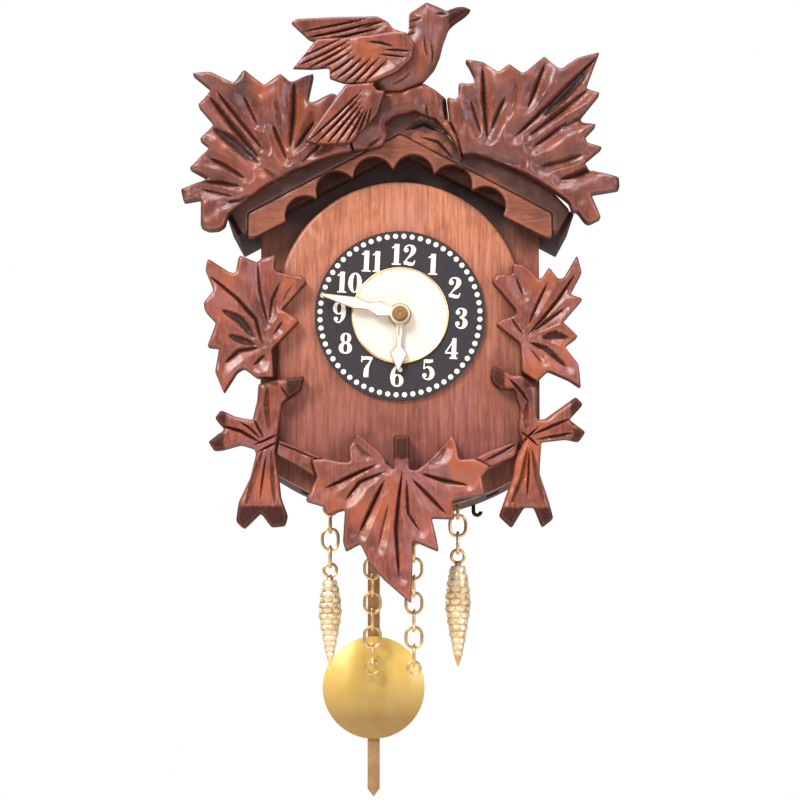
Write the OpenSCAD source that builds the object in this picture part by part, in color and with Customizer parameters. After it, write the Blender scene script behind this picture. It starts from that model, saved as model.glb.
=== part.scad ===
// Miniature carved wall clock with a spring movement, a short pendulum and decorative chains.
// Frame: +Z up, +X to the viewer's right, the front faces -Y, the wall is the plane Y = 0,
// and the origin is the centre of the hanger hole.

/* [Case] */
// Width of the case across its side walls
case_w = 70; // [62:1:84]
// Depth from the wall to the front face of the front board
case_d = 33; // [27.5:0.5:40]
// Distance from the hanger hole down to the lowest point of the case
case_drop = 67.5; // [64:0.5:80]
// Radius of the curved case bottom
bottom_r = 57; // [50:1:68]
// Thickness of the side walls
wall_t = 3.5; // [2.8:0.1:4.2]
// Thickness of the front board
board_t = 3; // [2.4:0.1:3.6]
// Thickness of the bottom board
bottom_t = 4; // [3.2:0.1:4.8]
// Height of the roof's underside where it crosses the outer faces of the side walls
eave_z = 3.9; // [2:0.1:6]

/* [Roof] */
// Slope of the roof boards
roof_pitch = 28; // [23.5:0.5:33.5]
// Thickness of the roof boards
roof_t = 6.5; // [5.4:0.1:7.8]
// How far the roof boards reach past the side walls
eave = 8.7; // [7:0.1:10.5]
// How far the roof boards reach in front of the front board
roof_lip = 5; // [4.5:0.1:6]
// Thickness of the scalloped fascia
fascia_t = 3; // [2.4:0.1:3.6]
// Radius of the scallops along the fascia's lower edge
scallop_r = 5; // [4.2:0.1:5.2]

/* [Dial] */
// Height of the dial centre, measured from the hanger hole
dial_z = -19; // [-21:0.5:-18]
// Radius of the dial
dial_r = 21.3; // [17.8:0.1:25.5]
// Thickness of the dial
dial_t = 1; // [0.8:0.1:1.2]
// Radius of the pale disc at the dial's centre
disc_r = 11.9; // [10:0.1:14.2]
// Length of the hour hand
hour_len = 14.4; // [12:0.1:17.2]
// Length of the minute hand
minute_len = 20.6; // [17.2:0.1:24]
// Thickness of the arched panel
panel_t = 3.5; // [2.9:0.1:4.2]
// Margin between the arched panel and the sides of the case
panel_margin = 4.5; // [3.8:0.1:5.4]

/* [Carvings] */
// Thickness of the crown leaves and the crest
crown_t = 5.5; // [4.6:0.1:6.6]
// Thickness of the side leaves and twigs
leaf_t = 5; // [4.2:0.1:6]
// Thickness of the bottom leaf
bottom_leaf_t = 6.5; // [5.4:0.1:7.8]
// Thickness of the garlands
garland_t = 3; // [2.5:0.1:3.6]
// Thickness of the bird's body
bird_t = 7; // [5.9:0.1:8.4]
// Thickness of the bird's wings
wing_t = 2.5; // [2.1:0.1:3]

/* [Train] */
// Module of the centre wheel and the third pinion
centre_module = 0.3; // [0.26:0.01:0.36]
// Module of the third wheel and the escape pinion
third_module = 0.26; // [0.24:0.01:0.3]
// Module of the great wheel and the centre pinion
great_module = 0.45; // [0.4:0.01:0.5]
// Module of the motion work
motion_module = 0.36; // [0.32:0.01:0.42]
// Radius of the centre arbor
centre_arbor_r = 0.6; // [0.5:0.01:0.72]
// Radius of the third, escape and pallet arbors
arbor_r = 0.45; // [0.38:0.01:0.54]
// Radius of the barrel arbor
barrel_arbor_r = 1.5; // [1.25:0.01:1.8]
// Outer radius of the spring barrel
barrel_r = 11; // [9.5:0.1:12]
// Thickness of the movement plates
plate_t = 1; // [0.8:0.05:1.2]
// Thickness of the brass wheels
wheel_t = 0.6; // [0.5:0.05:0.7]

/* [Pendulum] */
// Distance from the swing axis to the bob's centre
pendulum_len = 111; // [105:0.5:120]
// Radius of the bob
bob_r = 13; // [11:0.1:15]
// Width of the flat pendulum rod
rod_w = 3.1; // [2.6:0.1:3.7]
// Thickness of the flat pendulum rod
rod_t = 0.8; // [0.7:0.05:1]

/* [Chains] */
// Radius of the chain wire
wire_r = 0.4; // [0.34:0.01:0.46]
// Outer width of a chain link
link_w = 4.8; // [4.4:0.1:5.6]
// Outer length of a chain link
link_len = 6; // [5.6:0.1:7]
// Number of links on the left weight chain
left_links = 3; // [2:1:4]
// Number of links on the right weight chain
right_links = 2; // [2:1:4]
// Number of links on each free chain
free_links = 8; // [6:1:9]

/* [Clearances] */
// Radial clearance of arbors in their holes
run_gap = 0.04; // [0.02:0.01:0.08]
// Clearance between the bob's clip and the rod
slide_gap = 0.05; // [0.03:0.01:0.1]
// Gap around the back door
door_gap = 0.6; // [0.5:0.05:0.9]

/* [Hidden] */
$fn = 48;

// Colours
walnut = "#96553c";
walnut_light = "#c07f5c";
walnut_dark = "#5c3428";
black_iron = "#26221f";
brass = "#c9a25a";
steel = "#9a9da2";
pale_gold = "#e6d9b8";

// Depth layers of the front, from the case outwards
front_y = -case_d;
panel_y = front_y - panel_t;
dial_y = panel_y - dial_t;
disc_y = dial_y - 0.4;
roof_y = front_y - roof_lip;
fascia_y = roof_y - fascia_t;
crown_y = fascia_y - crown_t;
board_y = front_y + board_t;

// Depth layers of the back
hanger_t = 1;
gable_t = 7;
door_y = -5;
door_t = 2;

// Case outline
half_w = case_w / 2;
inner_w = half_w - wall_t;
bottom_cz = bottom_r - case_drop;
ridge_z = eave_z + half_w * tan(roof_pitch);
fascia_rise = 3.5;
apex_z = ridge_z + fascia_rise / cos(roof_pitch);
roof_top_z = ridge_z + roof_t / cos(roof_pitch);
panel_r = half_w - panel_margin;
arch_z = dial_z + 3.5;

// Movement plates and layers between them
motion_space = 4;
rear_space = 12;
plates_front = board_y + motion_space;
plates_rear = -rear_space;
gap_front = plates_front + plate_t;
gap_rear = plates_rear - plate_t;
train_gap = gap_rear - gap_front;
center_layer = gap_rear - 0.1 * train_gap;
escape_layer = gap_rear - 0.33 * train_gap;
third_layer = gap_rear - 0.53 * train_gap;
great_layer = gap_rear - 0.86 * train_gap;
drum_back = gap_rear - 0.3 * train_gap;
drum_t = 0.54 * train_gap;

// Tooth counts
great_teeth = 60;
center_leaves = 10;
center_teeth = 72;
third_leaves = 6;
third_teeth = 75;
escape_leaves = 6;
escape_teeth = 36;
cannon_leaves = 10;
minute_teeth = 30;
minute_leaves = 8;
hour_teeth = 32;
ratchet_teeth = 20;

// Arbor positions in the XZ plane
function polar(r, a) = [r * cos(a), r * sin(a)];
function gear_distance(n1, n2, m) = (n1 + n2) * m / 2;
third_dir = 71.4;
barrel_dir = -59.5;
minute_dir = 215;
center_at = [0, dial_z];
third_at = center_at + polar(gear_distance(center_teeth, third_leaves, centre_module), third_dir);
third_far = norm(third_at - center_at);
escape_far = (center_teeth + 2) * centre_module / 2 + arbor_r + 0.3;
escape_mesh = gear_distance(third_teeth, escape_leaves, third_module);
escape_turned = acos(
    (third_far * third_far + escape_far * escape_far - escape_mesh * escape_mesh)
    / (2 * third_far * escape_far)
);
escape_at = center_at + polar(escape_far, third_dir + escape_turned);
escape_dir = atan2(escape_at[1] - third_at[1], escape_at[0] - third_at[0]);
verge_rise = 9;
verge_at = escape_at + [0, verge_rise];
barrel_at = center_at + polar(gear_distance(great_teeth, center_leaves, great_module), barrel_dir);
minute_at = center_at + polar(gear_distance(minute_teeth, cannon_leaves, motion_module), minute_dir);

// Motion work
cannon_r = centre_arbor_r + run_gap + 0.45;
hour_pipe_r = cannon_r + run_gap + 0.6;
stud_r = 0.7;
cannon_y = plates_front - 0.6;
hour_wheel_y = plates_front - 2.2;
hour_hand_y = disc_y - 0.8;
minute_hand_y = hour_hand_y - 1.3;
hand_t = 0.6;
nut_t = 1.6;

// Escapement
escape_r = 6.3;
pallet_arm = 6.9;
pallet_half_angle = 56;

// Winding
ratchet_r = 4.5;
ratchet_y = plates_rear + 1;
square_w = 2.4;
key_hole_r = 9;
click_pivot = barrel_at + polar(7.6, 30);
click_stud_r = 0.6;

// Plates
plate_x0 = -22;
plate_x1 = 24;
plate_z1 = verge_at[1] + 6;
plate_z0 = barrel_at[1] - 15.5;
pillar_r = 1.8;
tenon_r = 1.1;
pillar_at = [
    for (x = [plate_x0 + 3, plate_x1 - 3], z = [plate_z0 + 3, plate_z1 - 3]) [x, z]
];

// Pendulum
pin_drop = 8;
pin_r = 0.45;
rod_y = -10;
crutch_y = rod_y - 0.9;
swing_room = 11.5;

// Chains
ring_r = 1.6;
slack = 0.05;
link_r = link_w / 2 - wire_r;
link_half = link_len / 2 - wire_r;
pitch = link_len - 4 * wire_r - slack;
seat = 2 * wire_r + slack;
weight_y = front_y + 4.7;
left_weight_x = -17.5;
right_weight_x = 14.5;
free_left_at = [-7, front_y + 16];
free_right_at = [3.5, front_y + 10.8];
left_cone = [3.1, 20.8];
right_cone = [3.45, 24.5];

// Back door
door_x = inner_w - door_gap;
door_top = -6.4;
gable_bottom = -6;
door_axis_x = -door_x + 1.2;
door_axis_y = door_y - door_t / 2;
door_pin_r = 0.6;
door_arc_r = bottom_r - bottom_t - 0.8;

// Door hook
hook_x = 19;
hook_wire_r = 0.5;
hook_ring_r = 1.05;
hook_y = door_y + 0.7;

function roof_under(x) = ridge_z - abs(x) * tan(roof_pitch);
function under_z(x) = bottom_cz - sqrt(bottom_r * bottom_r - x * x);
function over_z(x) = bottom_cz - sqrt(pow(bottom_r - bottom_t, 2) - x * x);

// Pendulum slot in the bottom board
rod_slot = [verge_at[0] - swing_room, rod_y - 2.3, 2 * swing_room, 4.3];

// Door pins, and the heel cut so that the door's corner swings clear
door_heel_w = door_x + door_axis_x + door_t / 2 + 0.3;
door_heel_z = over_z(door_x) + 0.15;
door_foot = bottom_cz - sqrt(pow(door_arc_r, 2) - pow(door_axis_x, 2));

// Hook shape
hook_z = (under_z(hook_x) + over_z(hook_x)) / 2;
hook_drop = 2.6;
hook_tip_r = 0.95;

// Screws and the hanger
hanger_screw_x = [-7, 7];
screw_r = 0.5;
shank_r = 0.5;
hanger_hole_r = 2.25;
screw_head_r = 1.4;

// Bird layers
bird_back = crown_y + crown_t - 0.5;
bird_front = bird_back - bird_t;

// Hands
hour_angle = 182;
minute_angle = 284;
nut_y = minute_hand_y - hand_t;
front_pivot_r = 0.8;

// Spring barrel and key
drum_wall = 0.8;
drum_front = great_layer;
spring_turns = 5;
spring_in = 3;
spring_out = barrel_r - drum_wall - 0.4;
key_socket_r = 2.4;

// Bob
dome_r = 35;
dome_floor = sqrt(dome_r * dome_r - bob_r * bob_r);
bob_rim_t = 0.4;
clip_y = rod_y + rod_t / 2 + 0.6;

// Chain eyes
eyes = [
    [left_weight_x, weight_y, left_links], [right_weight_x, weight_y, right_links],
    [free_left_at[0], free_left_at[1], free_links], [free_right_at[0], free_right_at[1], free_links]
];

// Outlines of the carvings are measured from the fascia's apex on the crown,
// and from the dial's centre on the front

module slab(back, t) {
    translate([0, back, 0])
        rotate([90, 0, 0])
            linear_extrude(height = t)
                children();
}

module rod_along_y(at, back, t, r) {
    translate([at[0], back, at[1]])
        rotate([90, 0, 0])
            cylinder(h = t, r = r);
}

module ring_xz(at, y, r, wire) {
    translate([at[0], y, at[1]])
        rotate([90, 0, 0])
            rotate_extrude()
                translate([r, 0])
                    circle(r = wire);
}

module ring_yz(at, y, r, wire) {
    translate([at[0], y, at[1]])
        rotate([0, 90, 0])
            rotate_extrude()
                translate([r, 0])
                    circle(r = wire);
}

module torus_end(r, wire) {
    rotate([90, 0, 0])
        rotate_extrude(angle = 180)
            translate([r, 0])
                circle(r = wire);
}

module link(at, y, z, turned) {
    straight = 2 * (link_half - link_r);
    translate([at, y, z])
        rotate([0, 0, turned ? 90 : 0]) {
            translate([0, 0, straight / 2])
                torus_end(link_r, wire_r);
            translate([0, 0, -straight / 2])
                rotate([0, 180, 0])
                    torus_end(link_r, wire_r);
            for (side = [-1, 1])
                translate([side * link_r, 0, -straight / 2])
                    cylinder(h = straight, r = wire_r);
        }
}

// A chain of n links hangs from a screw eye; even chains start with a link facing the front
function eye_z(x) = under_z(x) - ring_r - wire_r - slack;
function starts_turned(n) = n % 2 == 1;
function first_link_z(x) = eye_z(x) - ring_r + seat - link_half;
function last_wire_z(x, n) = first_link_z(x) - (n - 1) * pitch - link_half;
function end_ring_z(x, n) = last_wire_z(x, n) + seat - ring_r;

module chain(x, y, n) {
    for (i = [0 : n - 1])
        link(x, y, first_link_z(x) - i * pitch, starts_turned(n) ? i % 2 == 0 : i % 2 == 1);
}

module free_chain(at) {
    chain(at[0], at[1], free_links);
    ring_xz([at[0], end_ring_z(at[0], free_links)], at[1], ring_r, wire_r);
}

// A slender cone weight under its own ring
module cone_weight(x, n, size) {
    top = end_ring_z(x, n) - ring_r;
    r = size[0];
    len = size[1];
    neck = 1.6;
    ring_xz([x, top + ring_r], weight_y, ring_r, wire_r);
    translate([x, weight_y, top])
        rotate_extrude()
            polygon([
                [0, 0.1], [0.7, 0], [0.8, -neck], [0.55 * r, -neck - 0.06 * len],
                [0.86 * r, -neck - 0.2 * len], [r, -neck - 0.42 * len], [0.94 * r, -neck - 0.62 * len],
                [0.72 * r, -neck - 0.8 * len], [0.38 * r, -neck - 0.94 * len], [0, -neck - len]
            ]);
}

function arc(c, r, a0, a1, n) = [for (i = [0 : n]) c + polar(r, a0 + (a1 - a0) * i / n)];

// Four points a tooth, the first tooth's middle at the angle a0
function gear_points(n, m, a0) = [
    for (i = [0 : n - 1], k = [[-0.25, -1.1], [-0.07, 0.9], [0.07, 0.9], [0.25, -1.1]])
        polar(n * m / 2 + k[1] * m, a0 + (i + k[0]) * 360 / n)
];

// Saw teeth, two points each
function saw_points(n, tip, root) = [
    for (i = [0 : n - 1], k = [[0, tip], [0.25, root]])
        polar(k[1], -(i + k[0]) * 360 / n)
];

module wheel_face(n, m, a0, hub, spokes) {
    rim = n * m / 2 - 1.1 * m - 1;
    difference() {
        polygon(gear_points(n, m, a0));
        difference() {
            circle(r = rim);
            circle(r = hub);
            for (i = [0 : spokes - 1])
                rotate(i * 360 / spokes)
                    translate([0, -0.5])
                        square([rim + 1, 1]);
        }
    }
}

// Two discs with round trundles between them, a gap of the trundles at the angle a0
module lantern(at, y_mid, n, m, a0) {
    span = wheel_t + 0.4;
    disc_t = 0.25;
    disc = n * m / 2 + 0.35;
    for (back = [y_mid + span / 2 + disc_t, y_mid - span / 2])
        rod_along_y(at, back, disc_t, disc);
    for (i = [0 : n - 1])
        rod_along_y(
            at + polar(n * m / 2, a0 + (i + 0.5) * 360 / n), y_mid + span / 2 + disc_t / 2,
            span + disc_t, 0.45 * m
        );
}

module case_outline() {
    intersection() {
        translate([0, bottom_cz])
            circle(r = bottom_r);
        polygon([
            [-half_w, -case_drop - 1], [half_w, -case_drop - 1], [half_w, roof_under(half_w)],
            [0, ridge_z], [-half_w, roof_under(half_w)]
        ]);
    }
}

module face_board() {
    color(walnut_dark)
        slab(board_y, board_t)
            difference() {
                case_outline();
                translate(center_at)
                    circle(r = 3.2);
                for (p = pillar_at)
                    translate(p)
                        circle(r = tenon_r);
            }
}

module arch_panel() {
    color(walnut_light)
        slab(front_y, panel_t)
            difference() {
                intersection() {
                    translate([0, bottom_cz])
                        circle(r = bottom_r - 5);
                    union() {
                        translate([0, arch_z])
                            circle(r = panel_r);
                        translate([-panel_r, -case_drop])
                            square([2 * panel_r, case_drop + arch_z]);
                    }
                }
                translate(center_at)
                    circle(r = 3.2);
            }
}

module side_wall(side) {
    color(walnut)
        slab(0, case_d - board_t)
            intersection() {
                case_outline();
                translate([side > 0 ? inner_w : -half_w, -case_drop - 1])
                    square([wall_t, case_drop + ridge_z + 1]);
            }
}

module side_wall_left() {
    side_wall(-1);
}

module side_wall_right() {
    side_wall(1);
}

module bottom_board() {
    color(walnut)
        difference() {
            slab(door_y, case_d - board_t + door_y)
                difference() {
                    intersection() {
                        translate([0, bottom_cz])
                            circle(r = bottom_r);
                        translate([-inner_w, -case_drop - 1])
                            square([2 * inner_w, case_drop + 1 + over_z(inner_w)]);
                    }
                    translate([0, bottom_cz])
                        circle(r = bottom_r - bottom_t);
                }
            translate([rod_slot[0], rod_slot[1], -case_drop - 1])
                cube([rod_slot[2], rod_slot[3], bottom_t + 8]);
            for (side = [-1, 1])
                translate([side * 23.5 - 1.5, front_y + 9, -case_drop - 1])
                    cube([3, 9, bottom_t + 12]);
            for (at = eyes)
                translate([at[0], at[1], under_z(at[0]) - 1])
                    cylinder(h = bottom_t + 2, r = shank_r);
            translate([door_axis_x, door_axis_y, under_z(door_axis_x) - 1])
                cylinder(h = bottom_t + 6, r = door_pin_r + run_gap);
            rod_along_y([hook_x, hook_z], door_y + 1, 6, screw_r);
        }
}

module back_gable() {
    color(walnut)
        difference() {
            slab(-hanger_t, gable_t)
                polygon([
                    [-inner_w, gable_bottom], [inner_w, gable_bottom],
                    [inner_w, roof_under(inner_w)], [0, ridge_z], [-inner_w, roof_under(inner_w)]
                ]);
            rod_along_y([0, 0], 0, hanger_t + 6, 4.5);
            for (x = hanger_screw_x)
                rod_along_y([x, 0], 0, 6.5, screw_r);
            translate([door_axis_x, door_axis_y, gable_bottom - 1])
                cylinder(h = 4.2, r = door_pin_r + run_gap);
        }
}

module back_door() {
    color(walnut)
        difference() {
            slab(door_y, door_t)
                difference() {
                    intersection() {
                        translate([0, bottom_cz])
                            circle(r = door_arc_r);
                        translate([-door_x, -case_drop])
                            square([2 * door_x, case_drop + door_top]);
                    }
                    translate(barrel_at)
                        circle(r = key_hole_r);
                    translate([-door_x - 1, -case_drop])
                        square([door_heel_w + 1, door_heel_z + case_drop]);
                }
            for (z = [door_top - 4, door_foot - 1])
                translate([door_axis_x, door_axis_y, z])
                    cylinder(h = 5, r = door_pin_r);
        }
}

module door_pins() {
    color(steel) {
        translate([door_axis_x, door_axis_y, door_top - 4])
            cylinder(h = 7, r = door_pin_r);
        translate([door_axis_x, door_axis_y, door_foot - 3])
            cylinder(h = 7, r = door_pin_r);
    }
}

module door_hook() {
    color(black_iron) {
        ring_xz([hook_x, hook_z], hook_y, hook_ring_r, hook_wire_r);
        translate([hook_x, hook_y, hook_z - hook_ring_r - hook_drop])
            cylinder(h = hook_drop, r = hook_wire_r);
        translate([hook_x + hook_tip_r, hook_y, hook_z - hook_ring_r - hook_drop])
            rotate([0, 180, 0])
                torus_end(hook_tip_r, hook_wire_r);
    }
}

module hanger_plate() {
    color(brass)
        difference() {
            slab(0, hanger_t)
                difference() {
                    union() {
                        square([2 * hanger_screw_x[1], 9], center = true);
                        for (x = hanger_screw_x)
                            translate([x, 0])
                                circle(r = 4.5);
                    }
                    circle(r = hanger_hole_r);
                    for (x = hanger_screw_x)
                        translate([x, 0])
                            circle(r = screw_r);
                }
            for (x = hanger_screw_x)
                rod_along_y([x, 0], 0.5, 1.1, screw_head_r);
        }
}

module wood_screws() {
    color(brass) {
        for (x = hanger_screw_x) {
            rod_along_y([x, 0], 0, 0.6, screw_head_r);
            rod_along_y([x, 0], -0.6, 5.4, screw_r);
        }
        rod_along_y([hook_x, hook_z], hook_y + 1.2, 0.6, screw_head_r);
        rod_along_y([hook_x, hook_z], hook_y + 0.6, 5.5, screw_r);
    }
}

module roof_half(side) {
    end_x = half_w + eave;
    end_z = roof_top_z - end_x * tan(roof_pitch);
    foot = [end_x - roof_t * sin(roof_pitch), end_z - roof_t * cos(roof_pitch)];
    slab(-2, case_d + roof_lip - 2)
        polygon([
            [0, ridge_z], [0, roof_top_z], [side * end_x, end_z], [side * foot[0], foot[1]]
        ]);
}

module roof_left() {
    color(walnut_dark)
        roof_half(-1);
}

module roof_right() {
    color(walnut_dark)
        roof_half(1);
}

module gable_fascia() {
    end_x = half_w + 3;
    end_z = apex_z - end_x * tan(roof_pitch);
    edge_r = panel_r + 2.7;
    notch_at = edge_r - 1.3;
    foot_x = edge_r * sin(50);
    foot_z = arch_z + edge_r * cos(50);
    color(walnut)
        slab(roof_y, fascia_t)
            difference() {
                polygon([
                    [-end_x, end_z - 6], [-end_x, end_z], [0, apex_z], [end_x, end_z],
                    [end_x, end_z - 6]
                ]);
                translate([0, arch_z])
                    circle(r = edge_r);
                for (a = [-45 : 18 : 45])
                    translate([0, arch_z])
                        rotate(a + 3)
                            translate([0, notch_at])
                                circle(r = scallop_r);
                for (side = [-1, 1])
                    polygon([
                        [0, foot_z - 40], [side * foot_x, foot_z],
                        [side * (end_x + 5), foot_z - (end_x + 5 - foot_x) * tan(roof_pitch - 1)],
                        [side * (end_x + 5), foot_z - 40]
                    ]);
            }
}

module crown_board() {
    end_x = half_w + 3;
    end_z = 0.05 - end_x * tan(roof_pitch);
    side = [
        [end_x + 0.05, end_z], [end_x + 0.05, end_z - 5], [end_x + 1.6, end_z - 4.6],
        [end_x + 4.4, end_z + 0.8], [end_x, end_z + 5.6], [33, -11], [25, -7], [14, -3.6]
    ];
    color(walnut_dark)
        crown_piece(roof_y, fascia_t)
            polygon(concat(
                [[0, 0.05]], side, [[8, 6], [0, 6.8], [-8, 6.4]],
                [for (i = [len(side) - 1 : -1 : 0]) [-side[i].x, side[i].y]]
            ));
}

module crown_piece(back, t) {
    slab(back, t)
        translate([0, apex_z])
            children();
}

module crown_leaf_left() {
    color(walnut)
        crown_piece(fascia_y, crown_t)
            polygon(concat(arc([0, -66], 62, 101, 133.5, 7), [
                [-43.5, -24], [-45, -25], [-47.5, -25.2], [-49.5, -24.3],
                [-49.5, -17.2], [-53.8, -18], [-54.5, -14.8], [-48, -12], [-52.5, -9.5],
                [-47.5, -4.2], [-50, -2.2], [-46.5, 1.8], [-50.5, 6.5], [-47.2, 10.5], [-52, 14.5],
                [-47.5, 15], [-41.5, 12], [-39, 15.5], [-34, 11.5], [-30, 14.5], [-27.5, 12.5],
                [-21.5, 14.5], [-23, 7.5], [-22, 7], [-17, 9.5], [-14, 8], [-14.2, 2.5]
            ]));
}

module crown_leaf_right() {
    color(walnut)
        crown_piece(fascia_y, crown_t)
            polygon(concat([
                [15.5, -6.2], [13.8, -0.2], [12.4, 2.5], [11.7, 8.5], [13.8, 7.8], [14.6, 8.8],
                [14.6, 12.1], [17, 11.8], [18.5, 12], [18.5, 13.8], [17.2, 16.5], [16.2, 18],
                [20.8, 17.5], [24.5, 14.8], [27.2, 17], [30.5, 14.5], [31.5, 15], [36, 19],
                [39.5, 15.8], [40.5, 15.8], [43.8, 18.2], [50, 20.2], [46.5, 11], [50, 9.5],
                [45.2, 3.5], [45.2, 2.5], [49, 1.5], [46.2, -1.5], [46.5, -3], [50.5, -4.2],
                [46, -8], [47, -9.5], [54.5, -11.8], [54.6, -14.8], [47.5, -16], [50, -22],
                [47, -23.5], [46, -23], [44, -20.2], [42.8, -20.5]
            ], arc([2.5, -64.5], 61, 49.5, 75, 5)));
}

module crown_crest() {
    color(walnut)
        crown_piece(fascia_y, crown_t)
            polygon([
                [-11.6, -5], [-14, 2.5], [-13.8, 7.8], [-13.4, 9.3], [-5.5, 9.5], [0, 9.7],
                [5.8, 12], [11.5, 8.5], [12.2, 2.5], [13.5, -0.2], [15.2, -6.1], [15, -7.9],
                [14.4, -4.9], [12.4, -0.9], [9, 3.1], [3.5, 5], [-1.5, 3.7], [-3.8, 1.9],
                [-3, -0.9], [-4.6, -3.9]
            ]);
}

module bird_body() {
    color(walnut)
        crown_piece(bird_back, bird_t)
            polygon([
                [6.5, 32.5], [10.3, 30.9], [11.4, 30.2], [14.2, 31.2], [16, 31.3], [17.8, 30.5],
                [16.6, 29], [13.5, 26.8], [12.1, 25.4], [10.7, 21.5], [10, 18.5], [8.6, 15.2],
                [5.8, 12], [0, 9.7], [-5.5, 9.5], [-7, 11.5], [-5.5, 17.5], [-2, 23.1],
                [1.7, 24.3], [2.1, 25.1], [2.2, 29.7]
            ]);
}

module bird_near_wing() {
    color(walnut)
        crown_piece(bird_front, wing_t)
            polygon([
                [3.6, 21.1], [1.5, 23.9], [-1.8, 24.1], [-8, 23.1], [-20.8, 22.1], [-26.8, 14.7],
                [-21.8, 14.5], [-17.5, 14.9], [-17.5, 12.2], [-15.5, 11.5], [-13.7, 10.9],
                [-7, 11.2], [-1, 13.5], [3, 17.1]
            ]);
}

module bird_far_wing() {
    color(walnut)
        crown_piece(bird_front + wing_t + 1.5, wing_t)
            polygon([
                [1.6, 24.4], [-1.8, 25.6], [-3, 27.4], [-5.8, 28.8], [-15.6, 28.6], [-25.8, 28.1],
                [-27.3, 27.1], [-22.6, 22.7], [-20.8, 22.2], [-8, 23.2], [-2.1, 23.2]
            ]);
}

module bird_tail() {
    color(walnut)
        crown_piece(crown_y, wing_t + 1)
            polygon([
                [-13.7, 10.7], [-23.7, -3.3], [-20.5, -4.2], [-12.5, -3.9], [-5.5, 3.5],
                [-3.6, 9.3], [-5.6, 9.3], [-7.2, 11.4]
            ]);
}

module front_carving(t) {
    slab(panel_y, t)
        translate(center_at)
            children();
}

module side_leaf_left() {
    color(walnut)
        front_carving(leaf_t)
            polygon([
                [-48, 14], [-48.6, 11], [-46.5, 6], [-49, 2.8], [-48.6, 0.8], [-45.8, -2.2],
                [-48, -8.2], [-45, -8.5], [-46, -14.5], [-43.8, -19.8], [-40.5, -14.5],
                [-38.8, -13.5], [-35.5, -16], [-31.4, -16], [-31.9, -8.8], [-25, -1.6],
                [-29.5, 1.2], [-23.2, 8.2], [-24.2, 9.4], [-30, 10.4], [-31.4, 11.1], [-31, 15],
                [-35.2, 13.8], [-35.5, 13], [-40.2, 14.8], [-41, 10.4], [-42.4, 10.4]
            ]);
}

module side_leaf_right() {
    color(walnut)
        front_carving(leaf_t)
            polygon([
                [44.2, 14.8], [45.4, 10.4], [42.5, 5], [45.6, 3.8], [40.6, -2], [44.4, -5.6],
                [41, -8.2], [44.4, -12.6], [45, -18.5], [42.2, -16.6], [36.8, -14.2],
                [34, -17], [30.3, -14.5], [30, -7.3], [23.8, -2.5], [25, -1.5], [29, 0],
                [28.8, 1.2], [22.9, 8.2], [24, 10], [28, 10], [28.1, 12.8], [31.2, 12.3],
                [34.6, 8.8], [35.5, 9.2], [37.2, 11.8], [39.4, 8.8], [40.8, 9]
            ]);
}

module twig_left() {
    color(walnut)
        front_carving(leaf_t)
            polygon([
                [-35.2, -17.5], [-31.5, -16.6], [-23.8, -15.5], [-24.8, -19.2], [-29.2, -22.2],
                [-30.5, -31], [-31.1, -35], [-30, -40.8], [-29.5, -45.6], [-27.8, -50.3],
                [-28.5, -52.8], [-31.9, -53.1], [-34.5, -49.6], [-38.6, -53.6], [-40.6, -51.8],
                [-40, -47], [-37.1, -40.8], [-35.7, -35], [-36.2, -33.6], [-39.5, -32.6],
                [-44, -33.9], [-46.2, -34.1], [-47.6, -31.9], [-43.6, -28.8], [-46, -26],
                [-44.5, -24], [-40.8, -25.7], [-36.6, -26.4], [-35.5, -21.6]
            ]);
}

module twig_right() {
    color(walnut)
        front_carving(leaf_t)
            polygon([
                [23.1, -12.8], [22.4, -15.4], [23.1, -17.4], [25, -18.8], [28.4, -18.8],
                [29.8, -24], [29.3, -28.8], [30.5, -32.2], [28.6, -36.5], [27.9, -40.8],
                [26.5, -44.6], [24.5, -50.3], [27.7, -53.3], [30.8, -48.2], [33.2, -48.2],
                [35.2, -53.2], [38, -51], [36.8, -46.5], [34.6, -39.8], [35.1, -31.9],
                [41.2, -31.2], [44.4, -31.9], [46.1, -29.5], [42, -26.4], [45.5, -22.6],
                [43.7, -20.7], [35.8, -26.4], [34.1, -26.4], [34.1, -18.8], [33, -17.4],
                [30, -15.2], [28.1, -15.4]
            ]);
}

module garland_left() {
    color(walnut)
        front_carving(garland_t)
            polygon([
                [-30.3, -31.2], [-22, -34.7], [-19, -35.9], [-22.1, -36.3], [-20.8, -40.6],
                [-26, -37.5], [-30.9, -35]
            ]);
}

module garland_right() {
    color(walnut)
        front_carving(garland_t)
            polygon([
                [29.8, -31.4], [22.6, -33.9], [18.6, -36], [22.5, -38.05], [24.5, -37.2], [28.6, -35.6]
            ]);
}

module bottom_leaf() {
    color(walnut)
        front_carving(bottom_leaf_t)
            polygon([
                [-1.6, -39], [-1.6, -30.5], [2.4, -30.5], [2.4, -39], [4.3, -39], [7.8, -36.2],
                [12.8, -30.4], [13.8, -32], [14.7, -36.5], [18.4, -36.2], [22.4, -38.2],
                [20.2, -40.8], [21.1, -45.1], [14.8, -46], [12.9, -46.7], [13.6, -51.1],
                [7.8, -50.9], [9, -55.8], [9.6, -59.2], [3.2, -56.5], [3, -66.3], [2.8, -72],
                [-4.1, -66], [-7.6, -61.8], [-9.8, -57.2], [-13.4, -59.2], [-14.1, -57],
                [-13.6, -48.8], [-18, -50.2], [-18.8, -48], [-23.4, -46.7], [-20.5, -40.8],
                [-22, -36.5], [-18.8, -36.2], [-15, -37], [-12.5, -37.2], [-12.7, -33.4],
                [-10.6, -29.8], [-4.8, -34.8]
            ]);
}

module dial() {
    color(black_iron)
        slab(panel_y, dial_t)
            translate(center_at)
                difference() {
                    circle(r = dial_r);
                    circle(r = hour_pipe_r + 0.6);
                }
}

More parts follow.
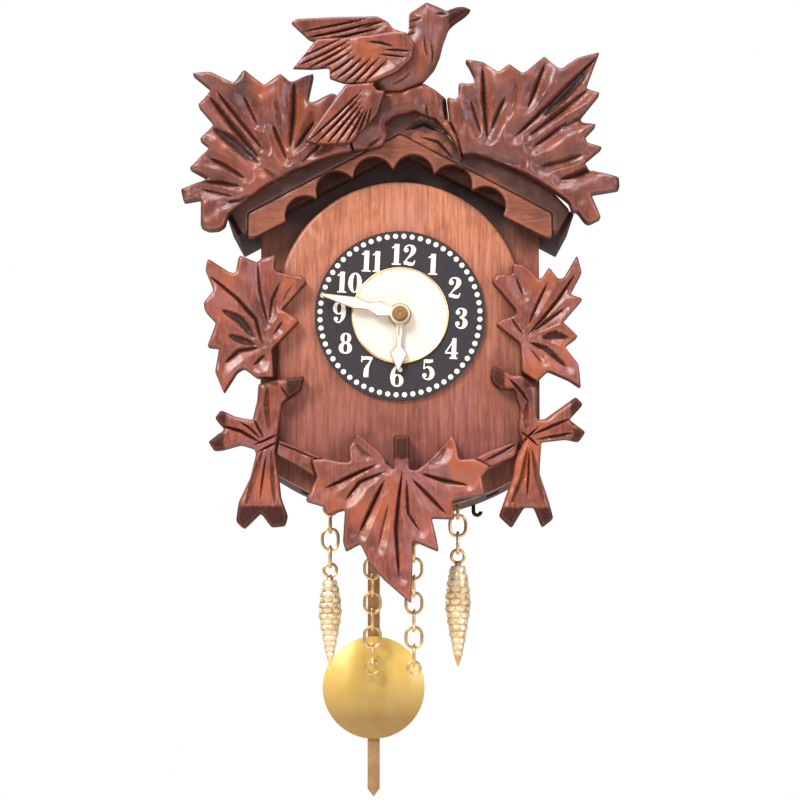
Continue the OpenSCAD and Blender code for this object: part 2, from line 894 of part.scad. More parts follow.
module dial_center() {
    color(pale_gold)
        slab(dial_y, 0.4)
            translate(center_at)
                difference() {
                    circle(r = disc_r);
                    circle(r = hour_pipe_r + 0.6);
                }
}

module hour_hand() {
    color(pale_gold)
        slab(hour_hand_y, hand_t)
            translate(center_at)
                rotate(-hour_angle)
                    difference() {
                        union() {
                            circle(r = 2.8);
                            polygon([
                                [-0.9, 2], [-0.6, 0.55 * hour_len], [-2.1, 0.68 * hour_len],
                                [-1.2, 0.82 * hour_len], [0, hour_len], [1.2, 0.82 * hour_len],
                                [2.1, 0.68 * hour_len], [0.6, 0.55 * hour_len], [0.9, 2]
                            ]);
                        }
                        circle(r = hour_pipe_r);
                    }
}

module minute_hand() {
    color(pale_gold)
        slab(minute_hand_y, hand_t)
            translate(center_at)
                rotate(-minute_angle)
                    difference() {
                        union() {
                            circle(r = 2.6);
                            polygon([
                                [-0.9, 2], [-1.9, 0.26 * minute_len], [-0.9, 0.4 * minute_len],
                                [-1.5, 0.56 * minute_len], [-0.35, 0.98 * minute_len],
                                [0, minute_len], [0.35, 0.98 * minute_len],
                                [1.5, 0.56 * minute_len], [0.9, 0.4 * minute_len],
                                [1.9, 0.26 * minute_len], [0.9, 2]
                            ]);
                        }
                        circle(r = cannon_r);
                    }
}

module hand_nut() {
    color(brass)
        difference() {
            union() {
                rod_along_y(center_at, nut_y, 0.5, 2);
                rod_along_y(center_at, nut_y - 0.5, nut_t - 0.5, 1.5);
            }
            rod_along_y(center_at, nut_y + 1, nut_t + 2, centre_arbor_r + run_gap);
        }
}

module cannon_pinion() {
    a0 = minute_dir + 180 / cannon_leaves;
    color(brass)
        difference() {
            union() {
                slab(cannon_y, 1)
                    translate(center_at)
                        polygon(gear_points(cannon_leaves, motion_module, a0));
                rod_along_y(center_at, cannon_y - 1, cannon_y - 1 - nut_y, cannon_r);
            }
            rod_along_y(center_at, cannon_y + 1, cannon_y - nut_y + 2, centre_arbor_r + run_gap);
        }
}

module minute_wheel() {
    color(brass)
        difference() {
            union() {
                slab(cannon_y, 1)
                    translate(minute_at)
                        wheel_face(minute_teeth, motion_module, minute_dir + 180, 1.6, 4);
                slab(cannon_y - 1, cannon_y - 1 - hour_wheel_y + 1)
                    translate(minute_at)
                        polygon(gear_points(minute_leaves, motion_module, minute_dir + 180 + 22.5));
            }
            rod_along_y(minute_at, cannon_y + 1, 6, stud_r + run_gap);
        }
}

module hour_wheel() {
    color(brass)
        difference() {
            union() {
                slab(hour_wheel_y, 0.8)
                    translate(center_at)
                        wheel_face(hour_teeth, motion_module, minute_dir, 2.6, 4);
                rod_along_y(
                    center_at, hour_wheel_y - 0.8, hour_wheel_y - 0.8 - hour_hand_y + hand_t,
                    hour_pipe_r
                );
            }
            rod_along_y(
                center_at, hour_wheel_y + 1, hour_wheel_y - hour_hand_y + 3, cannon_r + run_gap
            );
        }
}

module plate_blank() {
    difference() {
        translate([plate_x0, plate_z0])
            square([plate_x1 - plate_x0, plate_z1 - plate_z0]);
        translate(center_at)
            circle(r = centre_arbor_r + run_gap);
        for (at = [third_at, escape_at, verge_at])
            translate(at)
                circle(r = arbor_r + run_gap);
        for (p = pillar_at)
            translate(p)
                circle(r = tenon_r);
    }
}

module front_plate() {
    color(brass) {
        slab(gap_front, plate_t)
            difference() {
                plate_blank();
                translate(barrel_at)
                    circle(r = front_pivot_r + run_gap);
            }
        rod_along_y(minute_at, plates_front, motion_space - 0.5, stud_r);
    }
}

module rear_plate() {
    color(brass) {
        slab(plates_rear, plate_t)
            difference() {
                plate_blank();
                translate(barrel_at)
                    circle(r = barrel_arbor_r + run_gap);
            }
        rod_along_y(click_pivot, plates_rear + 1.2, 1.2, click_stud_r);
    }
}

module pillars() {
    color(brass)
        for (p = pillar_at) {
            rod_along_y(p, gap_rear, train_gap, pillar_r);
            rod_along_y(p, plates_rear + 1, 1 + plate_t, tenon_r);
            rod_along_y(p, gap_front, plate_t + motion_space + 2, tenon_r);
        }
}

module pillar_nuts() {
    color(steel)
        for (p = pillar_at)
            slab(plates_rear + 0.9, 0.9)
                translate(p)
                    difference() {
                        circle(r = 2.1, $fn = 6);
                        circle(r = tenon_r);
                    }
}

module center_wheel() {
    color(brass) {
        slab(center_layer, wheel_t)
            translate(center_at)
                wheel_face(center_teeth, centre_module, third_dir, 2, 5);
        slab(great_layer + 0.3, wheel_t + 0.6)
            translate(center_at)
                polygon(gear_points(
                    center_leaves, great_module, barrel_dir + 180 / center_leaves
                ));
        rod_along_y(center_at, plates_rear + 0.3, plates_rear + 0.3 - nut_y + nut_t - 0.3,
            centre_arbor_r);
    }
}

module third_wheel() {
    color(brass) {
        slab(third_layer, wheel_t)
            translate(third_at)
                wheel_face(third_teeth, third_module, escape_dir, 1.8, 5);
        lantern(
            third_at, center_layer - wheel_t / 2, third_leaves, centre_module, third_dir + 180
        );
        rod_along_y(third_at, plates_rear + 0.3, plates_rear - plates_front + 0.6, arbor_r);
    }
}

module escape_wheel() {
    color(brass) {
        slab(escape_layer, wheel_t)
            translate(escape_at)
                difference() {
                    polygon(saw_points(escape_teeth, escape_r, escape_r - 1));
                    difference() {
                        circle(r = escape_r - 1.8);
                        circle(r = 1.4);
                        for (i = [0 : 3])
                            rotate(i * 90)
                                translate([0, -0.4])
                                    square([escape_r - 1.2, 0.8]);
                    }
                }
        lantern(
            escape_at, third_layer - wheel_t / 2, escape_leaves, third_module, escape_dir + 180
        );
        rod_along_y(escape_at, plates_rear + 0.3, plates_rear - plates_front + 0.6, arbor_r);
    }
}

module spring_barrel() {
    color(brass)
        difference() {
            union() {
                rod_along_y(barrel_at, drum_back, drum_back - drum_front, barrel_r);
                slab(great_layer, wheel_t + 0.2)
                    translate(barrel_at)
                        polygon(gear_points(great_teeth, great_module, barrel_dir + 180));
            }
            rod_along_y(
                barrel_at, drum_back - drum_wall, drum_back - drum_front - 2 * drum_wall,
                barrel_r - drum_wall
            );
            rod_along_y(
                barrel_at, drum_back + 1, drum_back - drum_front + 4, barrel_arbor_r + run_gap
            );
        }
}

function spring_r(i, n) = spring_in + (spring_out - spring_in) * i / n;

module mainspring() {
    n = spring_turns * 16;
    color(steel)
        slab(drum_back - drum_wall - 0.3, drum_back - drum_front - 2 * drum_wall - 0.6)
            translate(barrel_at)
                polygon(concat(
                    [for (i = [0 : n]) polar(spring_r(i, n), i * 22.5)],
                    [for (i = [n : -1 : 0]) polar(spring_r(i, n) - 0.3, i * 22.5)]
                ));
}

module barrel_arbor() {
    core_r = spring_in - 0.6;
    tail_y = plates_rear + 1.2;
    color(steel) {
        rod_along_y(
            barrel_at, drum_back - drum_wall - 0.1, drum_back - drum_front - 2 * drum_wall - 0.2,
            core_r
        );
        rod_along_y(barrel_at, tail_y, tail_y - great_layer + wheel_t + 0.4, barrel_arbor_r);
        rod_along_y(barrel_at, great_layer - 0.5, great_layer - 0.5 - plates_front + 0.3,
            front_pivot_r);
        slab(tail_y + 4.4, 4.4)
            translate(barrel_at)
                square([square_w, square_w], center = true);
    }
}

module ratchet_wheel() {
    color(steel)
        slab(ratchet_y, 0.9)
            translate(barrel_at)
                difference() {
                    polygon(saw_points(ratchet_teeth, ratchet_r, ratchet_r - 0.8));
                    circle(r = barrel_arbor_r);
                }
}

module click() {
    nose = barrel_at + polar(5.25, 75);
    tip = barrel_at + polar(4.66, 77);
    along = (nose - click_pivot) / norm(nose - click_pivot);
    inward = [along[1], -along[0]] * -0.4;
    color(steel)
        slab(ratchet_y, 0.9)
            difference() {
                union() {
                    translate(click_pivot)
                        circle(r = 1.3);
                    polygon([
                        click_pivot - inward, nose - inward, tip, nose + inward - along * 0.9,
                        click_pivot + inward
                    ]);
                }
                translate(click_pivot)
                    circle(r = click_stud_r + run_gap);
            }
}

module winding_key() {
    socket_front = ratchet_y + 0.4;
    color(brass)
        difference() {
            union() {
                rod_along_y(barrel_at, door_y + 1, door_y + 1 - socket_front, key_socket_r);
                translate([barrel_at[0], door_y + 2, barrel_at[1] - 0.7])
                    linear_extrude(height = 1.4)
                        difference() {
                            union() {
                                square([9, 3], center = true);
                                for (side = [-1, 1])
                                    translate([side * 4.3, 0])
                                        circle(r = 2.3);
                            }
                            for (side = [-1, 1])
                                translate([side * 4.3, 0])
                                    circle(r = 1.1);
                        }
            }
            slab(door_y + 0.2, door_y - socket_front + 1)
                translate(barrel_at)
                    square([square_w + 0.1, square_w + 0.1], center = true);
        }
}

module verge() {
    color(steel) {
        rod_along_y(verge_at, crutch_y, crutch_y - plates_front + 0.3, arbor_r);
        slab(escape_layer + 0.4, wheel_t + 0.8)
            translate(verge_at) {
                circle(r = 1.2);
                for (side = [-1, 1])
                    rotate(-90 + side * pallet_half_angle)
                        translate([0, -0.4])
                            square([pallet_arm, 0.8]);
            }
    }
}

module crutch() {
    color(steel) {
        slab(crutch_y, 0.7)
            translate(verge_at)
                difference() {
                    union() {
                        circle(r = 1.3);
                        translate([-0.6, -pin_drop - 0.9])
                            square([1.2, pin_drop + 0.9]);
                    }
                    circle(r = arbor_r);
                }
        rod_along_y(verge_at - [0, pin_drop], rod_y + 1, rod_y + 1 - crutch_y, pin_r);
    }
}

module pendulum_rod() {
    color(brass)
        slab(rod_y + rod_t / 2, rod_t)
            translate(verge_at)
                difference() {
                    polygon([
                        [-rod_w / 2, -pin_drop + 2], [rod_w / 2, -pin_drop + 2],
                        [rod_w / 2, -pendulum_len - 25.6], [0, -pendulum_len - 27.6],
                        [-rod_w / 2, -pendulum_len - 25.6]
                    ]);
                    translate([0, -pin_drop])
                        circle(r = pin_r + run_gap);
                }
}

module pendulum_bob() {
    clip_front = rod_y - rod_t / 2 - 0.5;
    edge_angle = asin(bob_r / dome_r);
    color(brass)
        translate([verge_at[0], 0, verge_at[1] - pendulum_len]) {
            translate([0, clip_front, 0])
                rotate([90, 0, 0])
                    rotate_extrude()
                        polygon(concat([[0, 0], [bob_r, 0]], [
                            for (i = [0 : 6])
                                let (a = edge_angle * (1 - i / 6))
                                [dome_r * sin(a), bob_rim_t + dome_r * cos(a) - dome_floor]
                        ]));
            difference() {
                translate([-rod_w / 2 - 1, clip_front, -5])
                    cube([rod_w + 2, clip_y - clip_front, 10]);
                translate([-rod_w / 2 - slide_gap, rod_y - rod_t / 2 - slide_gap, -6])
                    cube([rod_w + 2 * slide_gap, rod_t + 2 * slide_gap, 12]);
            }
        }
}

module chain_hooks() {
    color(brass)
        for (at = eyes) {
            if (starts_turned(at[2]))
                ring_xz([at[0], eye_z(at[0])], at[1], ring_r, wire_r);
            else
                ring_yz([at[0], eye_z(at[0])], at[1], ring_r, wire_r);
            translate([at[0], at[1], eye_z(at[0]) + ring_r])
                cylinder(h = 4, r = shank_r);
        }
}

module weight_chain_left() {
    color(brass)
        chain(left_weight_x, weight_y, left_links);
}

module weight_left() {
    color(pale_gold)
        cone_weight(left_weight_x, left_links, left_cone);
}

module weight_chain_right() {
    color(brass)
        chain(right_weight_x, weight_y, right_links);
}

module weight_right() {
    color(pale_gold)
        cone_weight(right_weight_x, right_links, right_cone);
}

module free_chain_left() {
    color(brass)
        free_chain(free_left_at);
}

module free_chain_right() {
    color(brass)
        free_chain(free_right_at);
}

face_board();
arch_panel();
side_wall_left();
side_wall_right();
bottom_board();
back_gable();
back_door();
door_pins();
door_hook();
hanger_plate();
wood_screws();
roof_left();
roof_right();
gable_fascia();
crown_board();
crown_leaf_left();
crown_leaf_right();
crown_crest();
bird_body();
bird_near_wing();
bird_far_wing();
bird_tail();
side_leaf_left();
side_leaf_right();
twig_left();
twig_right();
garland_left();
garland_right();
bottom_leaf();
dial();
dial_center();
hour_hand();
minute_hand();
hand_nut();
cannon_pinion();
minute_wheel();
hour_wheel();
front_plate();
rear_plate();
pillars();
pillar_nuts();
center_wheel();
third_wheel();
escape_wheel();
spring_barrel();
mainspring();
barrel_arbor();
ratchet_wheel();
click();
winding_key();
verge();
crutch();
pendulum_rod();
pendulum_bob();
chain_hooks();
weight_chain_left();
weight_left();
weight_chain_right();
weight_right();
free_chain_left();
free_chain_right();
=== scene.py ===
"""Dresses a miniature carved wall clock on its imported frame, ready for the studio view."""

import logging
import math
from dataclasses import dataclass
from enum import Enum
from typing import Dict, List, Optional, Sequence, Tuple

import bmesh
import bpy
from mathutils import Matrix, Vector, kdtree, noise
from mathutils.geometry import delaunay_2d_cdt


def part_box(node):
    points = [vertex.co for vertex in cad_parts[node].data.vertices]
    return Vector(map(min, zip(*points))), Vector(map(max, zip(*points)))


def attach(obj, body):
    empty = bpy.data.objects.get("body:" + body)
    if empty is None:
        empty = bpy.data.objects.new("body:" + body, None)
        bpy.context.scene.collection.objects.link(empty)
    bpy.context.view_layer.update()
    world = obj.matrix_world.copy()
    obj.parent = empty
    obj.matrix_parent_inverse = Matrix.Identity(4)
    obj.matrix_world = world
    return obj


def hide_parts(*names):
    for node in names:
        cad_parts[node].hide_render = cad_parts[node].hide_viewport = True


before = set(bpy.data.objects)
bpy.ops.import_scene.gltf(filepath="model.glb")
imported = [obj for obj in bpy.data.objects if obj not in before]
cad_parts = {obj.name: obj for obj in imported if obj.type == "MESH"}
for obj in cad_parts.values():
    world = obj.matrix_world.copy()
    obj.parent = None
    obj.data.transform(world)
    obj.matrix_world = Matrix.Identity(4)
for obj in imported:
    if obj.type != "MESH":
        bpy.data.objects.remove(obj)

LOG = logging.getLogger("carved_clock")
MM = 0.001
DRAWN_APEX = (0.0, 26.5)
LARGE_FACE = 3e-5
Point = Tuple[float, float]
Path = Sequence[Point]
Stroke = Sequence[Tuple[float, float, float]]
Box = Tuple[Tuple[float, float], Tuple[float, float]]


def tint(red: int, green: int, blue: int) -> Tuple[float, float, float, float]:
    """Turns a screen colour into a linear one.

    Args:
        red: Red from 0 to 255.
        green: Green from 0 to 255.
        blue: Blue from 0 to 255.

    Returns:
        The linear colour with full alpha.
    """
    def channel(value: int) -> float:
        """Returns one linear channel."""
        part = value / 255
        return part / 12.92 if part <= 0.04045 else ((part + 0.055) / 1.055) ** 2.4
    return channel(red), channel(green), channel(blue), 1.0


def span(node: str) -> Tuple[Vector, Vector]:
    """Returns a frame node's lowest and highest corners in millimetres."""
    low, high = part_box(node)
    return Vector(low) / MM, Vector(high) / MM


def middle(node: str) -> Vector:
    """Returns the middle of a frame node's box in millimetres."""
    low, high = span(node)
    return (low + high) / 2


class Gouge(Enum):
    """The tools a carver's cut is made with."""

    VEE = "vee"
    SCOOP = "scoop"


@dataclass(frozen=True)
class Cut:
    """One stroke of a carving tool, in millimetres on the front."""

    path: Path
    width: float
    depth: float
    gouge: Gouge = Gouge.VEE
    dark: float = 1.0


class Wiring:
    """A node material being wired up."""

    def __init__(self, name: str) -> None:
        """Starts a material with a principled shader.

        Args:
            name: The material's name.
        """
        self.material = bpy.data.materials.new(name)
        self.material.use_nodes = True
        self.tree = self.material.node_tree
        self.tree.nodes.clear()
        self.shader = self.tree.nodes.new("ShaderNodeBsdfPrincipled")
        output = self.tree.nodes.new("ShaderNodeOutputMaterial")
        self.tree.links.new(self.shader.outputs[0], output.inputs[0])
        self.place = self.tree.nodes.new("ShaderNodeTexCoord").outputs["Object"]

    def join(self, source: bpy.types.NodeSocket, target: bpy.types.NodeSocket) -> None:
        """Links one socket to another."""
        self.tree.links.new(source, target)

    def set(self, **values: object) -> None:
        """Sets the shader's own sockets, with spaces written as underscores."""
        for name, value in values.items():
            self.shader.inputs[name.replace("_", " ")].default_value = value

    def spots(
        self, scale: float, detail: float = 4, stretch: Sequence[float] = (1, 1, 1),
        rough: float = 0.5,
    ) -> bpy.types.NodeSocket:
        """Adds noise on the object's own place.

        Args:
            scale: Features to a millimetre.
            detail: Octaves of detail.
            stretch: How much faster it changes along each axis.
            rough: How strong the finer octaves are.

        Returns:
            The noise value socket.
        """
        mapping = self.tree.nodes.new("ShaderNodeMapping")
        mapping.inputs["Scale"].default_value = tuple(s / MM for s in stretch)
        texture = self.tree.nodes.new("ShaderNodeTexNoise")
        texture.inputs["Scale"].default_value = scale
        texture.inputs["Detail"].default_value = detail
        texture.inputs["Roughness"].default_value = rough
        self.join(self.place, mapping.inputs["Vector"])
        self.join(mapping.outputs[0], texture.inputs["Vector"])
        return texture.outputs[0]

    def ramp(
        self, source: bpy.types.NodeSocket,
        stops: Sequence[Tuple[float, Tuple[float, float, float, float]]],
    ) -> bpy.types.NodeSocket:
        """Adds a colour ramp.

        Args:
            source: The value that runs along the ramp.
            stops: Pairs of a place on the ramp and its colour.

        Returns:
            The colour socket.
        """
        node = self.tree.nodes.new("ShaderNodeValToRGB")
        elements = node.color_ramp.elements
        while len(elements) < len(stops):
            elements.new(0.5)
        for element, (place, colour) in zip(elements, stops):
            element.position = place
            element.color = colour
        self.join(source, node.inputs[0])
        return node.outputs[0]

    def step(
        self, source: bpy.types.NodeSocket, low: float, high: float,
        to_low: float = 0.0, to_high: float = 1.0,
    ) -> bpy.types.NodeSocket:
        """Maps a value from one range to another, held at the ends.

        Args:
            source: The value.
            low: Where the source range starts.
            high: Where it ends.
            to_low: The result at low.
            to_high: The result at high.

        Returns:
            The mapped value.
        """
        node = self.tree.nodes.new("ShaderNodeMapRange")
        for name, value in zip(
            ("From Min", "From Max", "To Min", "To Max"), (low, high, to_low, to_high)
        ):
            node.inputs[name].default_value = value
        self.join(source, node.inputs["Value"])
        return node.outputs[0]

    def sum(
        self, first: bpy.types.NodeSocket, second: object, kind: str = "ADD",
    ) -> bpy.types.NodeSocket:
        """Combines two values.

        Args:
            first: The first value's socket.
            second: The second value's socket or a plain number.
            kind: The operation's name.

        Returns:
            The result's socket.
        """
        node = self.tree.nodes.new("ShaderNodeMath")
        node.operation = kind
        self.join(first, node.inputs[0])
        if isinstance(second, (int, float)):
            node.inputs[1].default_value = second
        else:
            self.join(second, node.inputs[1])
        return node.outputs[0]

    def blend(
        self, share: object, first: object, second: object, kind: str = "MIX",
    ) -> bpy.types.NodeSocket:
        """Mixes two colours.

        Args:
            share: How much of the second shows, a socket or a number.
            first: The first colour or its socket.
            second: The second colour or its socket.
            kind: The blend's name.

        Returns:
            The mixed colour.
        """
        node = self.tree.nodes.new("ShaderNodeMix")
        node.data_type = "RGBA"
        node.blend_type = kind
        for index, value in ((0, share), (6, first), (7, second)):
            if isinstance(value, bpy.types.NodeSocket):
                self.join(value, node.inputs[index])
            else:
                node.inputs[index].default_value = value
        return node.outputs[2]

    def mark(self, name: str) -> bpy.types.NodeSocket:
        """Reads a mesh attribute, which is zero where a piece has none."""
        node = self.tree.nodes.new("ShaderNodeAttribute")
        node.attribute_name = name
        return node.outputs["Fac"]

    def height(self) -> bpy.types.NodeSocket:
        """Returns how high a point is in the shared frame, in metres."""
        node = self.tree.nodes.new("ShaderNodeSeparateXYZ")
        self.join(self.place, node.inputs[0])
        return node.outputs[2]

    def emboss(self, layers: Sequence[Tuple[bpy.types.NodeSocket, float, float]]) -> None:
        """Stacks bumps on the shader.

        Args:
            layers: Triples of a height socket, a strength and a depth in millimetres.
        """
        normal = None
        for source, strength, depth in layers:
            node = self.tree.nodes.new("ShaderNodeBump")
            node.inputs["Strength"].default_value = strength
            node.inputs["Distance"].default_value = depth * MM
            self.join(source, node.inputs["Height"])
            if normal is not None:
                self.join(normal, node.inputs["Normal"])
            normal = node.outputs[0]
        if normal is not None:
            self.join(normal, self.shader.inputs["Normal"])


@dataclass(frozen=True)
class WoodFinish:
    """Stained and lacquered wood."""

    name: str
    dark: Tuple[int, int, int]
    mid: Tuple[int, int, int]
    light: Tuple[int, int, int]
    grain: Tuple[float, float, float] = (1.0, 1.0, 0.12)
    stain: Tuple[int, int, int] = (52, 25, 19)
    # Pinkish patches laid at random: partly the wood's colour, partly painted sheen for the lacquer's
    # lilac highlights.
    bloom: Tuple[int, int, int] = (186, 132, 140)
    gloss: float = 0.36
    coat: float = 0.5
    figure: float = 0.55
    shine: float = 0.5
    ember: Optional[Tuple[int, int, int]] = None
    lift: bool = False
    # Darkens the colour by height, toward the bottom or, with lift, toward the top.
    fade: Optional[Tuple[float, float, Tuple[int, int, int]]] = None

    def build(self) -> bpy.types.Material:
        """Wires the wood.

        Returns:
            The finished material.
        """
        w = Wiring(self.name)
        fibre = w.spots(1.6, 5, self.grain, 0.62)
        wander = w.spots(0.09, 3)
        base = w.ramp(fibre, (
            (0.3, tint(*self.dark)), (0.5, tint(*self.mid)), (0.72, tint(*self.light)),
        ))
        base = w.blend(self.figure, tint(*self.mid), base)
        # Broad random patches: pinkish ones, partly colour and partly painted sheen, and dark ones of the
        # wood's own tone.
        base = w.blend(w.step(wander, 0.52, 0.78, 0, 0.45), base, tint(*self.bloom))
        base = w.blend(w.step(wander, 0.47, 0.28, 0, 0.75), base, tint(*self.dark))
        if self.ember:
            base = w.blend(w.step(w.spots(0.13, 2, (1.0, 1.0, 0.6)), 0.5, 0.66, 0, 0.8), base,
                           tint(*self.ember))
        # Darkens toward the stain: the piece's own darker tone and, on the crown's leaves and back board,
        # painted shade.
        base = w.blend(w.step(w.mark("tone"), 0, 1, 0, 0.85), base, tint(*self.stain))
        # Darkens by height, toward the bottom or, with lift, toward the top.
        if self.fade:
            low, high, deep = self.fade
            ends = (0.0, 0.95) if self.lift else (0.95, 0.0)
            share = w.step(w.height(), low * MM, high * MM, *ends)
            base = w.blend(share, base, tint(*deep), "MULTIPLY")
        pores = w.spots(5.5, 3, (1.0, 1.0, self.grain[2] * 1.6), 0.7)
        base = w.blend(w.step(pores, 0.36, 0.27, 0, 0.55), base, tint(*self.dark))
        carve = w.mark("carve")
        paint = w.mark("paint")
        ragged = w.sum(carve, w.step(w.spots(1.3, 3), 0.3, 0.7, 0.75, 1.25), "MULTIPLY")
        base = w.blend(w.step(ragged, 0.05, 0.85, 0, 0.93), base, tint(*self.stain))
        worn = w.sum(paint, w.step(w.spots(0.8, 4), 0.3, 0.7, 0.82, 1.15), "MULTIPLY")
        base = w.blend(w.step(worn, 0.1, 0.9, 0, 0.92), base, tint(*self.stain))
        # Painted highlight: lightens toward the light colour along cut rims and edges.
        base = w.blend(w.step(w.mark("bright"), 0, 1, 0, 0.75), base, tint(*self.light))
        w.join(base, w.shader.inputs["Base Color"])
        rough = w.step(w.spots(0.5, 4), 0.3, 0.7, self.gloss - 0.07, self.gloss + 0.1)
        dulled = w.sum(w.step(worn, 0, 1, 0, 0.22), w.step(ragged, 0, 1, 0, 0.2))
        w.join(w.sum(rough, dulled), w.shader.inputs["Roughness"])
        w.join(w.step(worn, 0, 0.9, self.coat, 0.04), w.shader.inputs["Coat Weight"])
        w.join(w.step(worn, 0, 0.9, self.shine, 0.2), w.shader.inputs["Specular IOR Level"])
        w.set(Coat_Roughness=0.32, IOR=1.46)
        w.emboss(((w.spots(0.4, 2), 0.2, 0.4), (fibre, 0.16, 0.1), (pores, 0.2, 0.08)))
        return w.material


@dataclass(frozen=True)
class MetalFinish:
    """Plated, lacquered or oiled metal."""

    name: str
    bright: Tuple[int, int, int]
    dull: Tuple[int, int, int]
    gloss: float = 0.3
    brushed: Tuple[float, float, float] = (1.0, 1.0, 1.0)
    metal: float = 1.0
    # Painted shade: the colour darkens towards the bottom between two heights in millimetres.
    shade: Optional[Tuple[float, float, Tuple[int, int, int]]] = None
    relief: float = 0.12
    # Vertical streaks mixed into the colour, a painted reflection.
    streaks: bool = False

    def build(self) -> bpy.types.Material:
        """Wires the metal.

        Returns:
            The finished material.
        """
        w = Wiring(self.name)
        cloud = w.spots(0.22, 4)
        scratch = w.spots(3.2, 4, self.brushed, 0.65)
        # Painted reflection: vertical streaks in the colour.
        if self.streaks:
            cloud = w.blend(0.5, cloud, w.spots(0.3, 3, (1.0, 1.0, 0.12)))
        base = w.ramp(cloud, ((0.35, tint(*self.dull)), (0.65, tint(*self.bright))))
        # Painted shade, darker towards the bottom.
        if self.shade:
            low, high, deep = self.shade
            base = w.blend(
                w.step(w.height(), low * MM, high * MM, 0.8, 0.0), base, tint(*deep), "MULTIPLY"
            )
        base = w.blend(w.step(w.mark("carve"), 0, 1, 0, 0.85), base, tint(70, 52, 28))
        w.join(base, w.shader.inputs["Base Color"])
        rough = w.sum(
            w.step(scratch, 0.25, 0.75, self.gloss - 0.06, self.gloss + 0.1),
            w.step(cloud, 0.3, 0.7, 0.05, -0.03),
        )
        w.join(rough, w.shader.inputs["Roughness"])
        w.set(Metallic=self.metal)
        w.emboss(((scratch, self.relief, 0.05), (cloud, 0.2, 0.2)))
        return w.material


@dataclass(frozen=True)
class PaintFinish:
    """Matt paint or printing with a fine speckle."""

    name: str
    base: Tuple[int, int, int]
    speck: Tuple[int, int, int]
    gloss: float = 0.6
    grit: float = 4.0
    relief: float = 0.15

    def build(self) -> bpy.types.Material:
        """Wires the paint.

        Returns:
            The finished material.
        """
        w = Wiring(self.name)
        dust = w.spots(self.grit, 4, (1, 1, 1), 0.7)
        w.join(w.ramp(dust, (
            (0.42, tint(*self.base)), (0.68, tint(*self.speck)),
        )), w.shader.inputs["Base Color"])
        w.join(
            w.step(dust, 0.3, 0.7, self.gloss - 0.08, self.gloss + 0.08),
            w.shader.inputs["Roughness"],
        )
        w.emboss(((dust, self.relief, 0.05),))
        return w.material


class Finish(Enum):
    """The finishes the clock wears, by the record's slot names."""

    CARVED = "carved_walnut"
    PANEL = "panel_wood"
    CASE = "case_wood"
    DIAL = "dial_black"
    PRINT = "dial_print"
    GOLD = "pale_gold"
    BRASS = "brass"
    CONE = "cone_gold"
    STEEL = "steel"
    WIRE = "black_wire"


class FinishShelf:
    """Every finish, made once and kept by its slot."""

    def __init__(self) -> None:
        """Builds each material."""
        recipes = {
            Finish.CARVED: WoodFinish(
                "lacquered_walnut", (54, 23, 17), (126, 60, 41), (186, 110, 80),
                bloom=(176, 120, 126), figure=0.4, coat=0.5, gloss=0.38, ember=(168, 84, 46),
            ),
            Finish.PANEL: WoodFinish(
                "panel_walnut", (128, 70, 50), (188, 116, 82), (222, 154, 116),
                grain=(1.0, 1.0, 0.07), bloom=(180, 122, 112), gloss=0.42, coat=0.25, figure=0.7,
                # The panel is darker towards the bottom.
                fade=(-58.0, 6.0, (174, 150, 180)),
            ),
            Finish.CASE: WoodFinish(
                "case_walnut", (34, 17, 13), (58, 30, 22), (90, 50, 37),
                grain=(1.0, 0.12, 1.0), gloss=0.55, coat=0.02, bloom=(82, 50, 44), shine=0.15,
            ),
            Finish.DIAL: PaintFinish("dial_black", (27, 23, 26), (56, 49, 53), 0.6, 5.0),
            Finish.PRINT: PaintFinish("dial_print", (248, 240, 226), (236, 222, 200), 0.5),
            Finish.GOLD: MetalFinish(
                "pale_gold", (255, 250, 236), (248, 238, 214), 0.38, metal=0.35, relief=0.05,
            ),
            Finish.BRASS: MetalFinish(
                "satin_brass", (244, 214, 156), (206, 164, 106), 0.3, metal=0.75,
            ),
            Finish.CONE: MetalFinish(
                "cone_gold", (255, 242, 212), (232, 204, 158), 0.34, metal=0.5,
            ),
            Finish.STEEL: MetalFinish("steel", (176, 178, 184), (132, 134, 142), 0.3),
            Finish.WIRE: MetalFinish("black_wire", (52, 48, 46), (30, 27, 26), 0.4),
        }
        self.made: Dict[Finish, bpy.types.Material] = {
            kind: recipe.build() for kind, recipe in recipes.items()
        }
        # The bob's colour carries painted shade on its lower half and painted reflection streaks.
        self.bob = MetalFinish(
            "bob_brass", (255, 226, 132), (250, 204, 98), 0.3,
            brushed=(1.0, 1.0, 0.1), metal=0.12, shade=(-119.0, -103.0, (112, 86, 74)),
            streaks=True,
        ).build()
        self.rod = MetalFinish(
            "rod_brass", (206, 164, 116), (164, 126, 84), 0.34, metal=0.7,
        ).build()
        self.front = WoodFinish(
            "front_board_walnut", (84, 44, 32), (146, 84, 60), (190, 124, 92),
            grain=(1.0, 1.0, 0.1), bloom=(150, 98, 84), gloss=0.45, coat=0.2,
            # Painted shade: the board darkens towards the top, where it lies in shadow behind the
            # scalloped fascia.
            fade=(-4.0, 6.0, (70, 56, 54)), lift=True,
        ).build()
        self.stem = WoodFinish(
            "fascia_walnut", (92, 46, 31), (150, 82, 54), (186, 116, 82),
            grain=(0.12, 1.0, 1.0), bloom=(160, 98, 80), gloss=0.42,
        ).build()

    def __getitem__(self, kind: Finish) -> bpy.types.Material:
        """Returns the material of a finish."""
        return self.made[kind]


